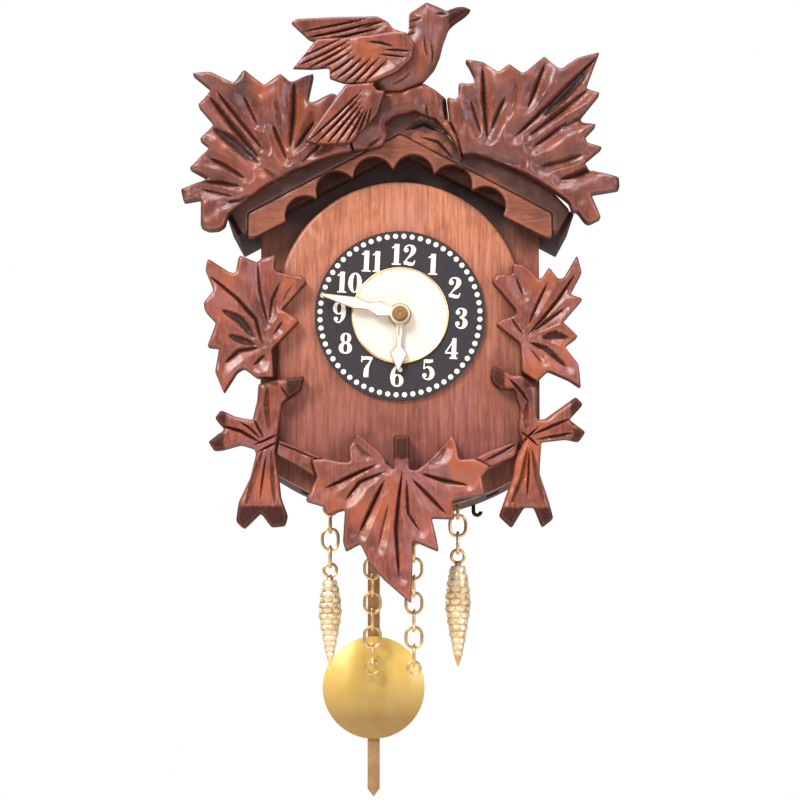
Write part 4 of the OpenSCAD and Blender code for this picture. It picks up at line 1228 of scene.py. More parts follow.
@dataclass
class BirdCarving:
    """The bird on the crest."""

    crease: float = 60.0

    def build(self, maker: Maker) -> None:
        """Carves the bird in its four layers.

        Args:
            maker: Makes the pieces.
        """
        shift = crown_shift()
        body = Plaque("bird_body", [
            Cut(((9.2, 55.4), (10.4, 55.6), (11.5, 55.5)), 1.3, 0.8),
            Cut(((2.4, 53.6), (3.8, 53.9), (5.4, 54.3)), 0.9, 0.5),
            Cut(((6.0, 49.6), (6.2, 47.0), (6.9, 44.2)), 1.0, 0.5, dark=0.7),
            Cut(((12.5, 56.4), (14.6, 56.4), (17.0, 56.6)), 0.5, 0.3, dark=0.8),
            Cut(((3.0, 41.0), (1.0, 39.0), (-2.0, 37.6)), 1.2, 0.5, dark=0.6),
            Cut(((0.4, 51.8), (2.2, 51.9), (3.9, 52.3)), 0.7, 0.5, dark=0.8),
            Cut(((0.4, 50.2), (2.0, 50.3), (3.6, 50.7)), 0.7, 0.5, dark=0.8),
            Cut(((7.6, 48.4), (8.2, 45.4), (8.0, 42.6)), 0.9, 0.5, dark=0.7),
        ], shift, edge=4.2, fall=3.0, swell=0.0, ripple=0.12, grain=0.36, back_edge=4.0,
            back_fall=2.6, side_paint=0.35, tone=0.55, painted=[((12.2, 50), (20, 60))])
        near = Plaque("bird_near_wing", [
            Cut(((-12.6, 49.6), (-19.0, 46.6), (-26.2, 43.0)), 0.8, 0.8),
            Cut(((-12.6, 48.2), (-18.6, 45.0), (-25.6, 41.7)), 0.9, 1.0),
            Cut(((-12.6, 46.9), (-17.6, 44.0), (-23.4, 40.9)), 0.9, 1.0),
            Cut(((-12.0, 45.6), (-16.4, 42.9), (-21.0, 40.6)), 0.9, 0.9),
            Cut(((-11.0, 44.4), (-15.0, 41.5), (-18.6, 39.2)), 0.9, 1.0),
            Cut(((-9.2, 44.0), (-12.6, 41.0), (-16.4, 38.0)), 0.9, 1.0),
            Cut(((-7.2, 43.8), (-10.8, 40.4), (-14.8, 36.8)), 0.9, 1.0),
            Cut(((-5.2, 43.8), (-9.2, 39.8), (-13.4, 35.6)), 0.9, 1.0),
            Cut(((-3.0, 43.4), (-6.6, 40.0), (-10.4, 36.2)), 0.9, 0.9),
            Cut(((1.6, 44.0), (-1.6, 44.4), (-5.0, 44.6)), 0.8, 0.7),
            Cut(((-1.6, 46.6), (-4.6, 47.6), (-8.0, 47.9)), 1.2, 0.9),
            Cut(((2.8, 45.4), (-0.6, 45.8), (-4.2, 45.8)), 1.0, 0.8),
        ], shift, edge=1.1, fall=1.2, swell=0.5, slant=0.4, ripple=0.1, grain=0.34, side_paint=0.7,
            tone=0.25)
        far = Plaque("bird_far_wing", [
            Cut(((-8.0, 54.6), (-16.0, 52.9), (-25.4, 51.0)), 0.8, 0.8),
            Cut(((-6.4, 53.6), (-15.0, 51.4), (-24.4, 49.4)), 0.9, 1.0),
            Cut(((-5.0, 52.2), (-13.4, 50.2), (-22.4, 48.4)), 0.9, 1.0),
            Cut(((-3.2, 50.8), (-10.6, 49.2), (-19.4, 47.6)), 0.9, 0.9),
            Cut(((-3.0, 54.0), (-6.0, 53.4), (-9.0, 52.2)), 0.8, 0.6, dark=0.8),
        ], shift, edge=0.9, fall=0.9, swell=0.4, slant=0.4, ripple=0.1, grain=0.34, side_paint=0.7,
            tone=0.3)
        tail = Plaque("bird_tail", [
            Cut(((-9.6, 35.6), (-16.1, 29.2), (-23.0, 22.7)), 0.9, 1.0),
            Cut(((-10.0, 33.8), (-15.4, 28.0), (-21.2, 22.0)), 0.9, 1.1),
            Cut(((-9.8, 32.4), (-14.2, 27.2), (-18.8, 21.6)), 0.9, 1.1),
            Cut(((-9.4, 31.4), (-12.8, 26.6), (-16.4, 21.6)), 0.9, 1.1),
            Cut(((-8.8, 30.8), (-11.2, 26.4), (-13.9, 21.8)), 0.9, 1.0),
            Cut(((-8.0, 31.0), (-9.6, 27.0), (-11.4, 22.6)), 0.9, 1.0),
            Cut(((-7.0, 31.6), (-7.9, 28.4), (-9.0, 24.6)), 0.8, 0.9),
        ], shift, edge=0.9, fall=0.9, swell=0.4, slant=0.4, ripple=0.1, grain=0.34, side_paint=0.7,
            tone=0.3)
        for plaque in (body, near, far, tail):
            maker.carve(plaque, crease=self.crease)


@dataclass
class CaseWork:
    """The boards of the case, with their edges eased."""

    ease: float = 0.35

    def eased(
        self, maker: Maker, node: str, body: str, finish: Finish, width: float,
        material: Optional[bpy.types.Material] = None,
    ) -> None:
        """Rounds a board's edges over.

        Args:
            maker: Makes the pieces.
            node: The frame node.
            body: The body it rides on.
            finish: Its slot.
            width: How wide the rounding is, in millimetres.
            material: A material other than the slot's own.
        """
        mesh = mesh_from(merged_copy(node), node)
        piece = maker.settle(mesh, "eased_" + node, body, finish, (), material, crease=35)
        bevel = piece.modifiers.new("ease", "BEVEL")
        bevel.width = width * MM
        bevel.segments = 3
        bevel.limit_method = "ANGLE"
        bevel.angle_limit = math.radians(38)
        bevel.use_clamp_overlap = True
        bevel.harden_normals = False
        flatten(piece, 35)
        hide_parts(node)

    def build(self, maker: Maker) -> None:
        """Finishes the case.

        Args:
            maker: Makes the pieces.
        """
        for node in (
            "roof_left", "roof_right", "side_wall_left", "side_wall_right", "bottom_board",
            "back_gable",
        ):
            self.eased(maker, node, "root", Finish.CASE, self.ease)
        self.eased(maker, "face_board", "root", Finish.CASE, self.ease, maker.shelf.front)
        self.eased(maker, "back_door", "back_door_set", Finish.CASE, self.ease)
        self.eased(maker, "arch_panel", "root", Finish.PANEL, 0.8)


def flatten(piece: bpy.types.Object, crease: float) -> None:
    """Turns a piece's modifiers into plain mesh.

    Args:
        piece: The piece.
        crease: The angle past which an edge stays sharp.
    """
    graph = bpy.context.evaluated_depsgraph_get()
    made = bpy.data.meshes.new_from_object(piece.evaluated_get(graph))
    piece.modifiers.clear()
    made.name = piece.name
    piece.data = made
    made.shade_smooth()
    made.set_sharp_from_angle(angle=math.radians(crease))
    for face in made.polygons:
        if len(face.vertices) > 4 or face.area > LARGE_FACE:
            face.use_smooth = False


def lathe(profile: Sequence[Point], at: Vector, steps: int, axis: str) -> bmesh.types.BMesh:
    """Turns a profile round an axis.

    Args:
        profile: Points of a radius and a place along the axis, in millimetres.
        at: Where the axis starts.
        steps: How many facets go round.
        axis: "Y" or "Z".

    Returns:
        The turned shape, closed where the radius is nothing.
    """
    shape = bmesh.new()
    rings: List[List[bmesh.types.BMVert]] = []
    for radius, along in profile:
        ring = []
        for k in range(1 if radius < 1e-6 else steps):
            turn = 2 * math.pi * k / steps
            a, b = radius * math.cos(turn), radius * math.sin(turn)
            spot = Vector((a, along, b)) if axis == "Y" else Vector((a, b, along))
            ring.append(shape.verts.new(at + spot))
        rings.append(ring)
    for low, high in zip(rings, rings[1:]):
        for k in range(steps):
            corners = [
                low[k % len(low)], low[(k + 1) % len(low)],
                high[(k + 1) % len(high)], high[k % len(high)],
            ]
            unique = list(dict.fromkeys(corners))
            if len(unique) > 2:
                shape.faces.new(unique)
    bmesh.ops.recalc_face_normals(shape, faces=shape.faces)
    return shape


class GrowTree:
    """A Geometry Nodes tree being wired up."""

    def __init__(self, name: str) -> None:
        """Starts a tree with one geometry output.

        Args:
            name: The tree's name.
        """
        self.tree = bpy.data.node_groups.new(name, "GeometryNodeTree")
        self.tree.interface.new_socket("Geometry", in_out="INPUT", socket_type="NodeSocketGeometry")
        self.tree.interface.new_socket("Geometry", in_out="OUTPUT", socket_type="NodeSocketGeometry")
        self.start = self.tree.nodes.new("NodeGroupInput")
        self.end = self.tree.nodes.new("NodeGroupOutput")
        self.names: Dict[str, str] = {}

    def size(self, name: str, value: float, whole: bool = False) -> bpy.types.NodeSocket:
        """Adds a named size.

        Args:
            name: The size's name.
            value: Its value.
            whole: Whether it is a whole number.

        Returns:
            The socket that carries it.
        """
        kind = "NodeSocketInt" if whole else "NodeSocketFloat"
        socket = self.tree.interface.new_socket(name, in_out="INPUT", socket_type=kind)
        socket.default_value = value
        self.names[name] = socket.identifier
        return self.start.outputs[name]

    def add(self, kind: str, **settings: object) -> bpy.types.Node:
        """Adds a node with its settings."""
        node = self.tree.nodes.new(kind)
        for name, value in settings.items():
            setattr(node, name, value)
        return node

    def join(self, source: bpy.types.NodeSocket, target: bpy.types.NodeSocket) -> None:
        """Links one socket to another."""
        self.tree.links.new(source, target)

    def sum(self, kind: str, first: object, second: object = 0.0) -> bpy.types.NodeSocket:
        """Does one sum.

        Args:
            kind: The operation's name.
            first: A socket or a number.
            second: A socket or a number.

        Returns:
            The result's socket.
        """
        node = self.add("ShaderNodeMath", operation=kind)
        for index, value in enumerate((first, second)):
            if isinstance(value, bpy.types.NodeSocket):
                self.join(value, node.inputs[index])
            else:
                node.inputs[index].default_value = value
        return node.outputs[0]

    def place(self, x: object, y: object, z: object) -> bpy.types.NodeSocket:
        """Joins three numbers into a place."""
        node = self.add("ShaderNodeCombineXYZ")
        for index, value in enumerate((x, y, z)):
            if isinstance(value, bpy.types.NodeSocket):
                self.join(value, node.inputs[index])
            else:
                node.inputs[index].default_value = value
        return node.outputs[0]

    def repeat(
        self, count: bpy.types.NodeSocket, place: bpy.types.NodeSocket,
        turn: bpy.types.NodeSocket, pattern: bpy.types.Object,
        material: bpy.types.Material, scale: Optional[bpy.types.NodeSocket] = None,
    ) -> None:
        """Puts a pattern at every place and ends the tree.

        Args:
            count: How many.
            place: Where each one goes.
            turn: How each one is turned.
            pattern: The object that is repeated.
            material: The finish.
            scale: How big each one is.
        """
        line = self.add("GeometryNodeMeshLine")
        self.join(count, line.inputs["Count"])
        moved = self.add("GeometryNodeSetPosition")
        self.join(line.outputs[0], moved.inputs["Geometry"])
        self.join(place, moved.inputs["Position"])
        source = self.add("GeometryNodeObjectInfo")
        source.inputs["Object"].default_value = pattern
        put = self.add("GeometryNodeInstanceOnPoints")
        self.join(moved.outputs[0], put.inputs["Points"])
        self.join(source.outputs["Geometry"], put.inputs["Instance"])
        self.join(turn, put.inputs["Rotation"])
        if scale is not None:
            self.join(scale, put.inputs["Scale"])
        real = self.add("GeometryNodeRealizeInstances")
        self.join(put.outputs[0], real.inputs[0])
        coat = self.add("GeometryNodeSetMaterial")
        coat.inputs["Material"].default_value = material
        self.join(real.outputs[0], coat.inputs["Geometry"])
        self.join(coat.outputs[0], self.end.inputs[0])

    def grow(self, sizes: Dict[str, float], pattern: bpy.types.Object) -> bpy.types.Mesh:
        """Runs the tree.

        Args:
            sizes: The sizes by name.
            pattern: The repeated object, which is removed afterwards.

        Returns:
            The plain mesh.
        """
        seedling = bpy.data.objects.new("seedling", bpy.data.meshes.new("seedling"))
        bpy.context.scene.collection.objects.link(seedling)
        grower = seedling.modifiers.new("grow", "NODES")
        grower.node_group = self.tree
        for name, value in sizes.items():
            grower[self.names[name]] = value
        graph = bpy.context.evaluated_depsgraph_get()
        mesh = bpy.data.meshes.new_from_object(seedling.evaluated_get(graph))
        seedling.modifiers.clear()
        bpy.data.objects.remove(seedling)
        bpy.data.objects.remove(pattern)
        return mesh


def pattern_from(shape: bmesh.types.BMesh, name: str) -> bpy.types.Object:
    """Makes a small object to be repeated, in metres."""
    piece = bpy.data.objects.new(name, mesh_from(shape, name))
    bpy.context.scene.collection.objects.link(piece)
    return piece


@dataclass
class Dial:
    """The printed dial, its disc and the hands."""

    dots: int = 60
    dot_share: float = 0.939
    dot_r: float = 0.66
    numeral_share: float = 0.72
    numeral_h: float = 5.3
    print_t: float = 0.07
    print_turn: float = 2.8
    line: float = 0.17
    bite: float = 0.01
    bowl_steps: int = 24
    bead_r: float = 0.28

    def strokes(self, digit: str) -> List[Stroke]:
        """Draws a digit with a broad pen in a box one high.

        Args:
            digit: The digit.

        Returns:
            Strokes of places across and up, with the pen's width at each.
        """
        def bowl(cx: float, cy: float, rx: float, ry: float, heavy: float = 0.23) -> Stroke:
            """Draws a closed ring, heavy at its sides."""
            turns = [2 * math.pi * k / self.bowl_steps for k in range(self.bowl_steps + 1)]
            return [
                (cx + rx * math.cos(a), cy + ry * math.sin(a),
                 0.06 + (heavy - 0.06) * abs(math.cos(a)) ** 1.4)
                for a in turns
            ]

        def ball(cx: float, cy: float, r: float) -> Stroke:
            """Draws a round drop."""
            return [(cx + r * c, cy, 2 * r * math.sqrt(1 - c * c) + 0.002) for c in
                    (-0.99, -0.9, -0.7, -0.4, 0, 0.4, 0.7, 0.9, 0.99)]

        book: Dict[str, List[Stroke]] = {
            "0": [bowl(0.34, 0.5, 0.21, 0.45)],
            "1": [
                [(0.33, 0.02, 0.23), (0.33, 1.0, 0.23)],
                [(0.12, 0.035, 0.07), (0.54, 0.035, 0.07)],
                [(0.1, 0.8, 0.05), (0.2, 0.86, 0.09), (0.34, 0.96, 0.09)],
            ],
            "2": [
                ball(0.17, 0.73, 0.115),
                [(0.1, 0.76, 0.1), (0.16, 0.9, 0.07), (0.33, 0.965, 0.07), (0.48, 0.88, 0.18),
                 (0.52, 0.73, 0.23), (0.44, 0.55, 0.17), (0.25, 0.33, 0.07), (0.11, 0.13, 0.06)],
                [(0.08, 0.1, 0.14), (0.2, 0.12, 0.17), (0.38, 0.07, 0.16), (0.54, 0.07, 0.14)],
                [(0.54, 0.06, 0.09), (0.6, 0.25, 0.045)],
            ],
            "3": [
                ball(0.16, 0.77, 0.105),
                [(0.1, 0.8, 0.08), (0.18, 0.93, 0.06), (0.32, 0.965, 0.07), (0.46, 0.88, 0.17),
                 (0.48, 0.76, 0.2), (0.42, 0.62, 0.13), (0.25, 0.54, 0.05)],
                [(0.25, 0.54, 0.05), (0.44, 0.47, 0.13), (0.52, 0.3, 0.23), (0.46, 0.12, 0.18),
                 (0.3, 0.035, 0.07), (0.14, 0.1, 0.06), (0.09, 0.22, 0.08)],
                ball(0.16, 0.24, 0.105),
            ],
            "4": [
                [(0.45, 0.99, 0.07), (0.25, 0.62, 0.07), (0.05, 0.3, 0.06)],
                [(0.03, 0.28, 0.075), (0.64, 0.28, 0.075)],
                [(0.44, 0.98, 0.2), (0.44, 0.03, 0.23)],
                [(0.25, 0.035, 0.07), (0.62, 0.035, 0.07)],
            ],
            "5": [
                [(0.14, 0.92, 0.14), (0.34, 0.89, 0.17), (0.54, 0.93, 0.12)],
                [(0.14, 0.95, 0.055), (0.13, 0.52, 0.055)],
                [(0.13, 0.53, 0.05), (0.28, 0.62, 0.07), (0.45, 0.54, 0.17), (0.53, 0.32, 0.23),
                 (0.46, 0.12, 0.17), (0.3, 0.035, 0.07), (0.15, 0.1, 0.06), (0.1, 0.2, 0.08)],
                ball(0.17, 0.22, 0.105),
            ],
            "6": [
                bowl(0.34, 0.3, 0.2, 0.265, 0.2),
                [(0.5, 0.86, 0.1), (0.4, 0.965, 0.06), (0.26, 0.93, 0.08), (0.14, 0.7, 0.18),
                 (0.13, 0.4, 0.23), (0.18, 0.2, 0.14)],
                ball(0.47, 0.81, 0.1),
            ],
            "7": [
                [(0.1, 0.88, 0.17), (0.3, 0.91, 0.15), (0.5, 0.9, 0.15), (0.58, 0.93, 0.1)],
                [(0.09, 1.0, 0.06), (0.08, 0.7, 0.05)],
                [(0.57, 0.94, 0.06), (0.44, 0.66, 0.1), (0.33, 0.4, 0.2), (0.31, 0.14, 0.24),
                 (0.32, 0.0, 0.22)],
            ],
            "8": [bowl(0.34, 0.745, 0.165, 0.215, 0.18), bowl(0.34, 0.275, 0.205, 0.24, 0.22)],
        }
        book["9"] = [[(0.68 - x, 1 - y, w) for x, y, w in stroke] for stroke in book["6"]]
        return book[digit]

    def smooth(self, stroke: Stroke) -> Stroke:
        """Eases a stroke into a curve.

        Args:
            stroke: The stroke's points.

        Returns:
            The finer stroke.
        """
        if len(stroke) < 3 or len(stroke) > self.bowl_steps:
            return stroke
        points = [Vector(p) for p in stroke]
        points = [points[0] * 2 - points[1]] + points + [points[-1] * 2 - points[-2]]
        fine = []
        for k in range(1, len(points) - 2):
            a, b, c, d = points[k - 1:k + 3]
            for part in range(5):
                t = part / 5
                spot = 0.5 * (
                    2 * b + (c - a) * t + (2 * a - 5 * b + 4 * c - d) * t * t
                    + (3 * b - a - 3 * c + d) * t ** 3
                )
                fine.append((spot.x, spot.y, max(0.02, spot.z)))
        fine.append(tuple(points[-2]))
        return fine

    def edges(self, fine: Stroke) -> List[List[Point]]:
        """Finds both edges of a pen stroke.

        Args:
            fine: The stroke, closed where it is a bowl.

        Returns:
            The two edge points at each of its places.
        """
        last = len(fine) - 1
        rows = []
        for k, (x, y, w) in enumerate(fine):
            before, after = fine[max(0, k - 1)], fine[min(last, k + 1)]
            if last == self.bowl_steps and k in (0, last):
                before, after = fine[last - 1], fine[1]
            run = Vector((after[0] - before[0], after[1] - before[1])).normalized()
            side = Vector((-run.y, run.x)) * w / 2
            rows.append([(x + side.x * way, y + side.y * way) for way in (1, -1)])
        return rows

    def numerals(self, maker: Maker, at: Vector, face: float, radius: float) -> None:
        """Prints the twelve numbers.

        Args:
            maker: Makes the pieces.
            at: The dial's centre.
            face: The dial's front in Y.
            radius: The dial's radius.
        """
        shape = bmesh.new()
        lean = math.radians(self.print_turn)
        upright = Matrix.Rotation(-lean, 2)
        for hour in range(1, 13):
            turn = math.radians(hour * 30) + lean
            spot = Vector((
                at.x + radius * self.numeral_share * math.sin(turn),
                at.z + radius * self.numeral_share * math.cos(turn),
            ))
            text = str(hour)
            pitch = 0.6 * self.numeral_h if len(text) == 2 else 0
            for place, digit in enumerate(text):
                slide = (place - (len(text) - 1) / 2) * pitch * (0.86 if text == "11" else 1.0)
                for order, stroke in enumerate(self.strokes(digit)):
                    lift = self.print_t + 0.004 * order
                    rows = []
                    for edges in self.edges(self.smooth(stroke)):
                        row = []
                        for x, y in edges:
                            local = Vector(((x - 0.33) * self.numeral_h + slide,
                                            (y - 0.5) * self.numeral_h))
                            ink = spot + upright @ local
                            row.append(shape.verts.new((ink.x, face - lift, ink.y)))
                        rows.append(row)
                    for low, high in zip(rows, rows[1:]):
                        shape.faces.new((low[0], low[1], high[1], high[0]))
        for side in shape.faces:
            side.normal_update()
            if side.normal.y > 0:
                side.normal_flip()
        made = bmesh.ops.extrude_face_region(shape, geom=list(shape.faces))
        tops = [g for g in made["geom"] if isinstance(g, bmesh.types.BMFace)]
        verts = {v for f in tops for v in f.verts}
        for vertex in shape.verts:
            if vertex not in verts:
                vertex.co.y = face + self.bite
        maker.settle(mesh_from(shape, "numerals"), "dial_numerals", "root", Finish.PRINT, crease=30)

    def minute_dots(self, maker: Maker, at: Vector, face: float, radius: float) -> None:
        """Prints the ring of dots with Geometry Nodes.

        Args:
            maker: Makes the pieces.
            at: The dial's centre.
            face: The dial's front in Y.
            radius: The dial's radius.
        """
        tree = GrowTree("dial_dots")
        count = tree.size("Dots", self.dots, True)
        ring = tree.size("Ring radius", 0.02)
        across, deep, up = (tree.size(n, 0.0) for n in ("Across", "Deep", "Up"))
        index = tree.add("GeometryNodeInputIndex").outputs[0]
        turn = tree.sum("ADD", tree.sum("DIVIDE", tree.sum("MULTIPLY", index, 2 * math.pi), count),
                        math.radians(self.print_turn))
        x = tree.sum("ADD", tree.sum("MULTIPLY", tree.sum("SINE", turn), ring), across)
        z = tree.sum("ADD", tree.sum("MULTIPLY", tree.sum("COSINE", turn), ring), up)
        dot = lathe(
            ((0, -self.print_t), (self.dot_r * 0.85, -self.print_t), (self.dot_r, 0.0), (0, 0.0)),
            Vector(), 14, "Y",
        )
        pattern = pattern_from(dot, "dot")
        tree.repeat(count, tree.place(x, deep, z), tree.place(0.0, turn, 0.0), pattern,
                    maker.shelf[Finish.PRINT])
        mesh = tree.grow({
            "Dots": self.dots, "Ring radius": radius * self.dot_share * MM,
            "Across": at.x * MM, "Deep": face * MM, "Up": at.z * MM,
        }, pattern)
        maker.settle(mesh, "dial_dots", "root", Finish.PRINT)

    def rims(self, maker: Maker, at: Vector) -> None:
        """Turns the thin bead round the disc.

        Args:
            maker: Makes the pieces.
            at: The dial's centre.
        """
        low, high = span("dial_center")
        radius = (high.x - low.x) / 2
        bead = [
            (radius + self.bead_r * math.cos(k * math.pi / 4),
             low.y + 0.12 - self.bead_r * math.sin(k * math.pi / 4))
            for k in range(9)
        ]
        maker.settle(
            mesh_from(lathe(bead, Vector((at.x, 0, at.z)), 96, "Y"), "rim"),
            "disc_bead", "root", Finish.BRASS,
        )

    def hand(self, maker: Maker, node: str, body: str) -> None:
        """Presses a hand with a darker line round its edges.

        Args:
            maker: Makes the pieces.
            node: The frame node it stands for.
            body: The body it rides on.
        """
        shape = merged_copy(node)
        shape.normal_update()
        fronts = [face for face in shape.faces if face.normal.y < -0.9]
        bmesh.ops.inset_region(shape, faces=fronts, thickness=self.line, use_even_offset=True)
        front = set(face for face in fronts if face.is_valid)
        dark = [face not in front for face in shape.faces]
        piece = maker.settle(mesh_from(shape, node), "edged_" + node, body, Finish.GOLD, (node,))
        piece.data.materials.append(maker.shelf.rod)
        for face, edge in zip(piece.data.polygons, dark):
            face.material_index = int(edge)

    def build(self, maker: Maker) -> None:
        """Finishes the dial.

        Args:
            maker: Makes the pieces.
        """
        low, high = span("dial")
        at, radius = middle("dial"), (high.x - low.x) / 2
        maker.wear("dial", Finish.DIAL)
        maker.wear("dial_center", Finish.GOLD)
        self.numerals(maker, at, low.y, radius)
        self.minute_dots(maker, at, low.y, radius)
        self.rims(maker, at)
        self.hand(maker, "hour_hand", "hour_set")
        self.hand(maker, "minute_hand", "minute_set")
        maker.wear("hand_nut", Finish.BRASS, maker.shelf.rod)


@dataclass
class ChainSet:
    """The four chains, made of closed wire links."""

    wire: float = 0.4
    link_w: float = 4.8
    link_len: float = 6.0
    slack: float = 0.05
    squareness: float = 0.78
    steps: int = 28
    round_steps: int = 8

    def link(self) -> bmesh.types.BMesh:
        """Bends one link, flat in XZ and hung from its middle."""
        shape = bmesh.new()
        across, half = self.link_w / 2 - self.wire, self.link_len / 2 - self.wire
        rings = []
        for k in range(self.steps):
            turn = 2 * math.pi * k / self.steps
            c, s = math.cos(turn), math.sin(turn)
            x = across * math.copysign(abs(c) ** self.squareness, c)
            z = half * math.copysign(abs(s) ** self.squareness, s)
            out = Vector((c / across, 0, s / half)).normalized()
            ring = []
            for j in range(self.round_steps):
                a = 2 * math.pi * j / self.round_steps
                spot = Vector((x, 0, z)) + out * self.wire * math.cos(a)
                spot.y += self.wire * math.sin(a)
                ring.append(shape.verts.new(spot))
            rings.append(ring)
        for k in range(self.steps):
            low, high = rings[k], rings[(k + 1) % self.steps]
            for j in range(self.round_steps):
                i = (j + 1) % self.round_steps
                shape.faces.new((low[j], low[i], high[i], high[j]))
        bmesh.ops.recalc_face_normals(shape, faces=shape.faces)
        return shape

    def hang(self, maker: Maker, node: str, body: str, links: int) -> None:
        """Hangs a chain link by link with Geometry Nodes.

        Args:
            maker: Makes the pieces.
            node: The frame node it stands for.
            body: The body it rides on.
            links: How many links it has.
        """
        low, high = span(node)
        at = (low + high) / 2
        pitch = self.link_len - 4 * self.wire - self.slack
        tree = GrowTree(node)
        count = tree.size("Links", links, True)
        gap = tree.size("Pitch", 0.004)
        first = tree.size("First turn", 0.0)
        across, deep, up = (tree.size(n, 0.0) for n in ("Across", "Deep", "Up"))
        index = tree.add("GeometryNodeInputIndex").outputs[0]
        z = tree.sum("SUBTRACT", up, tree.sum("MULTIPLY", index, gap))
        turn = tree.sum("ADD", tree.sum("MULTIPLY", index, math.pi / 2), first)
        pattern = pattern_from(self.link(), "link")
        tree.repeat(count, tree.place(across, deep, z), tree.place(0.0, 0.0, turn), pattern,
                    maker.shelf[Finish.BRASS])
        turned = links % 2 == 1
        mesh = tree.grow({
            "Links": links, "Pitch": pitch * MM, "First turn": math.pi / 2 if turned else 0.0,
            "Across": at.x * MM, "Deep": at.y * MM, "Up": (high.z - self.link_len / 2) * MM,
        }, pattern)
        maker.settle(mesh, "links_" + node, body, Finish.BRASS, (node,))

    def build(self, maker: Maker) -> None:
        """Hangs the two weight chains link by link and gives the two free chains their finish.

        Args:
            maker: Makes the pieces.
        """
        self.hang(maker, "weight_chain_left", "left_weight_chain", 3)
        self.hang(maker, "weight_chain_right", "right_weight_chain", 2)
        for side in ("left", "right"):
            maker.wear("free_chain_" + side, Finish.BRASS)


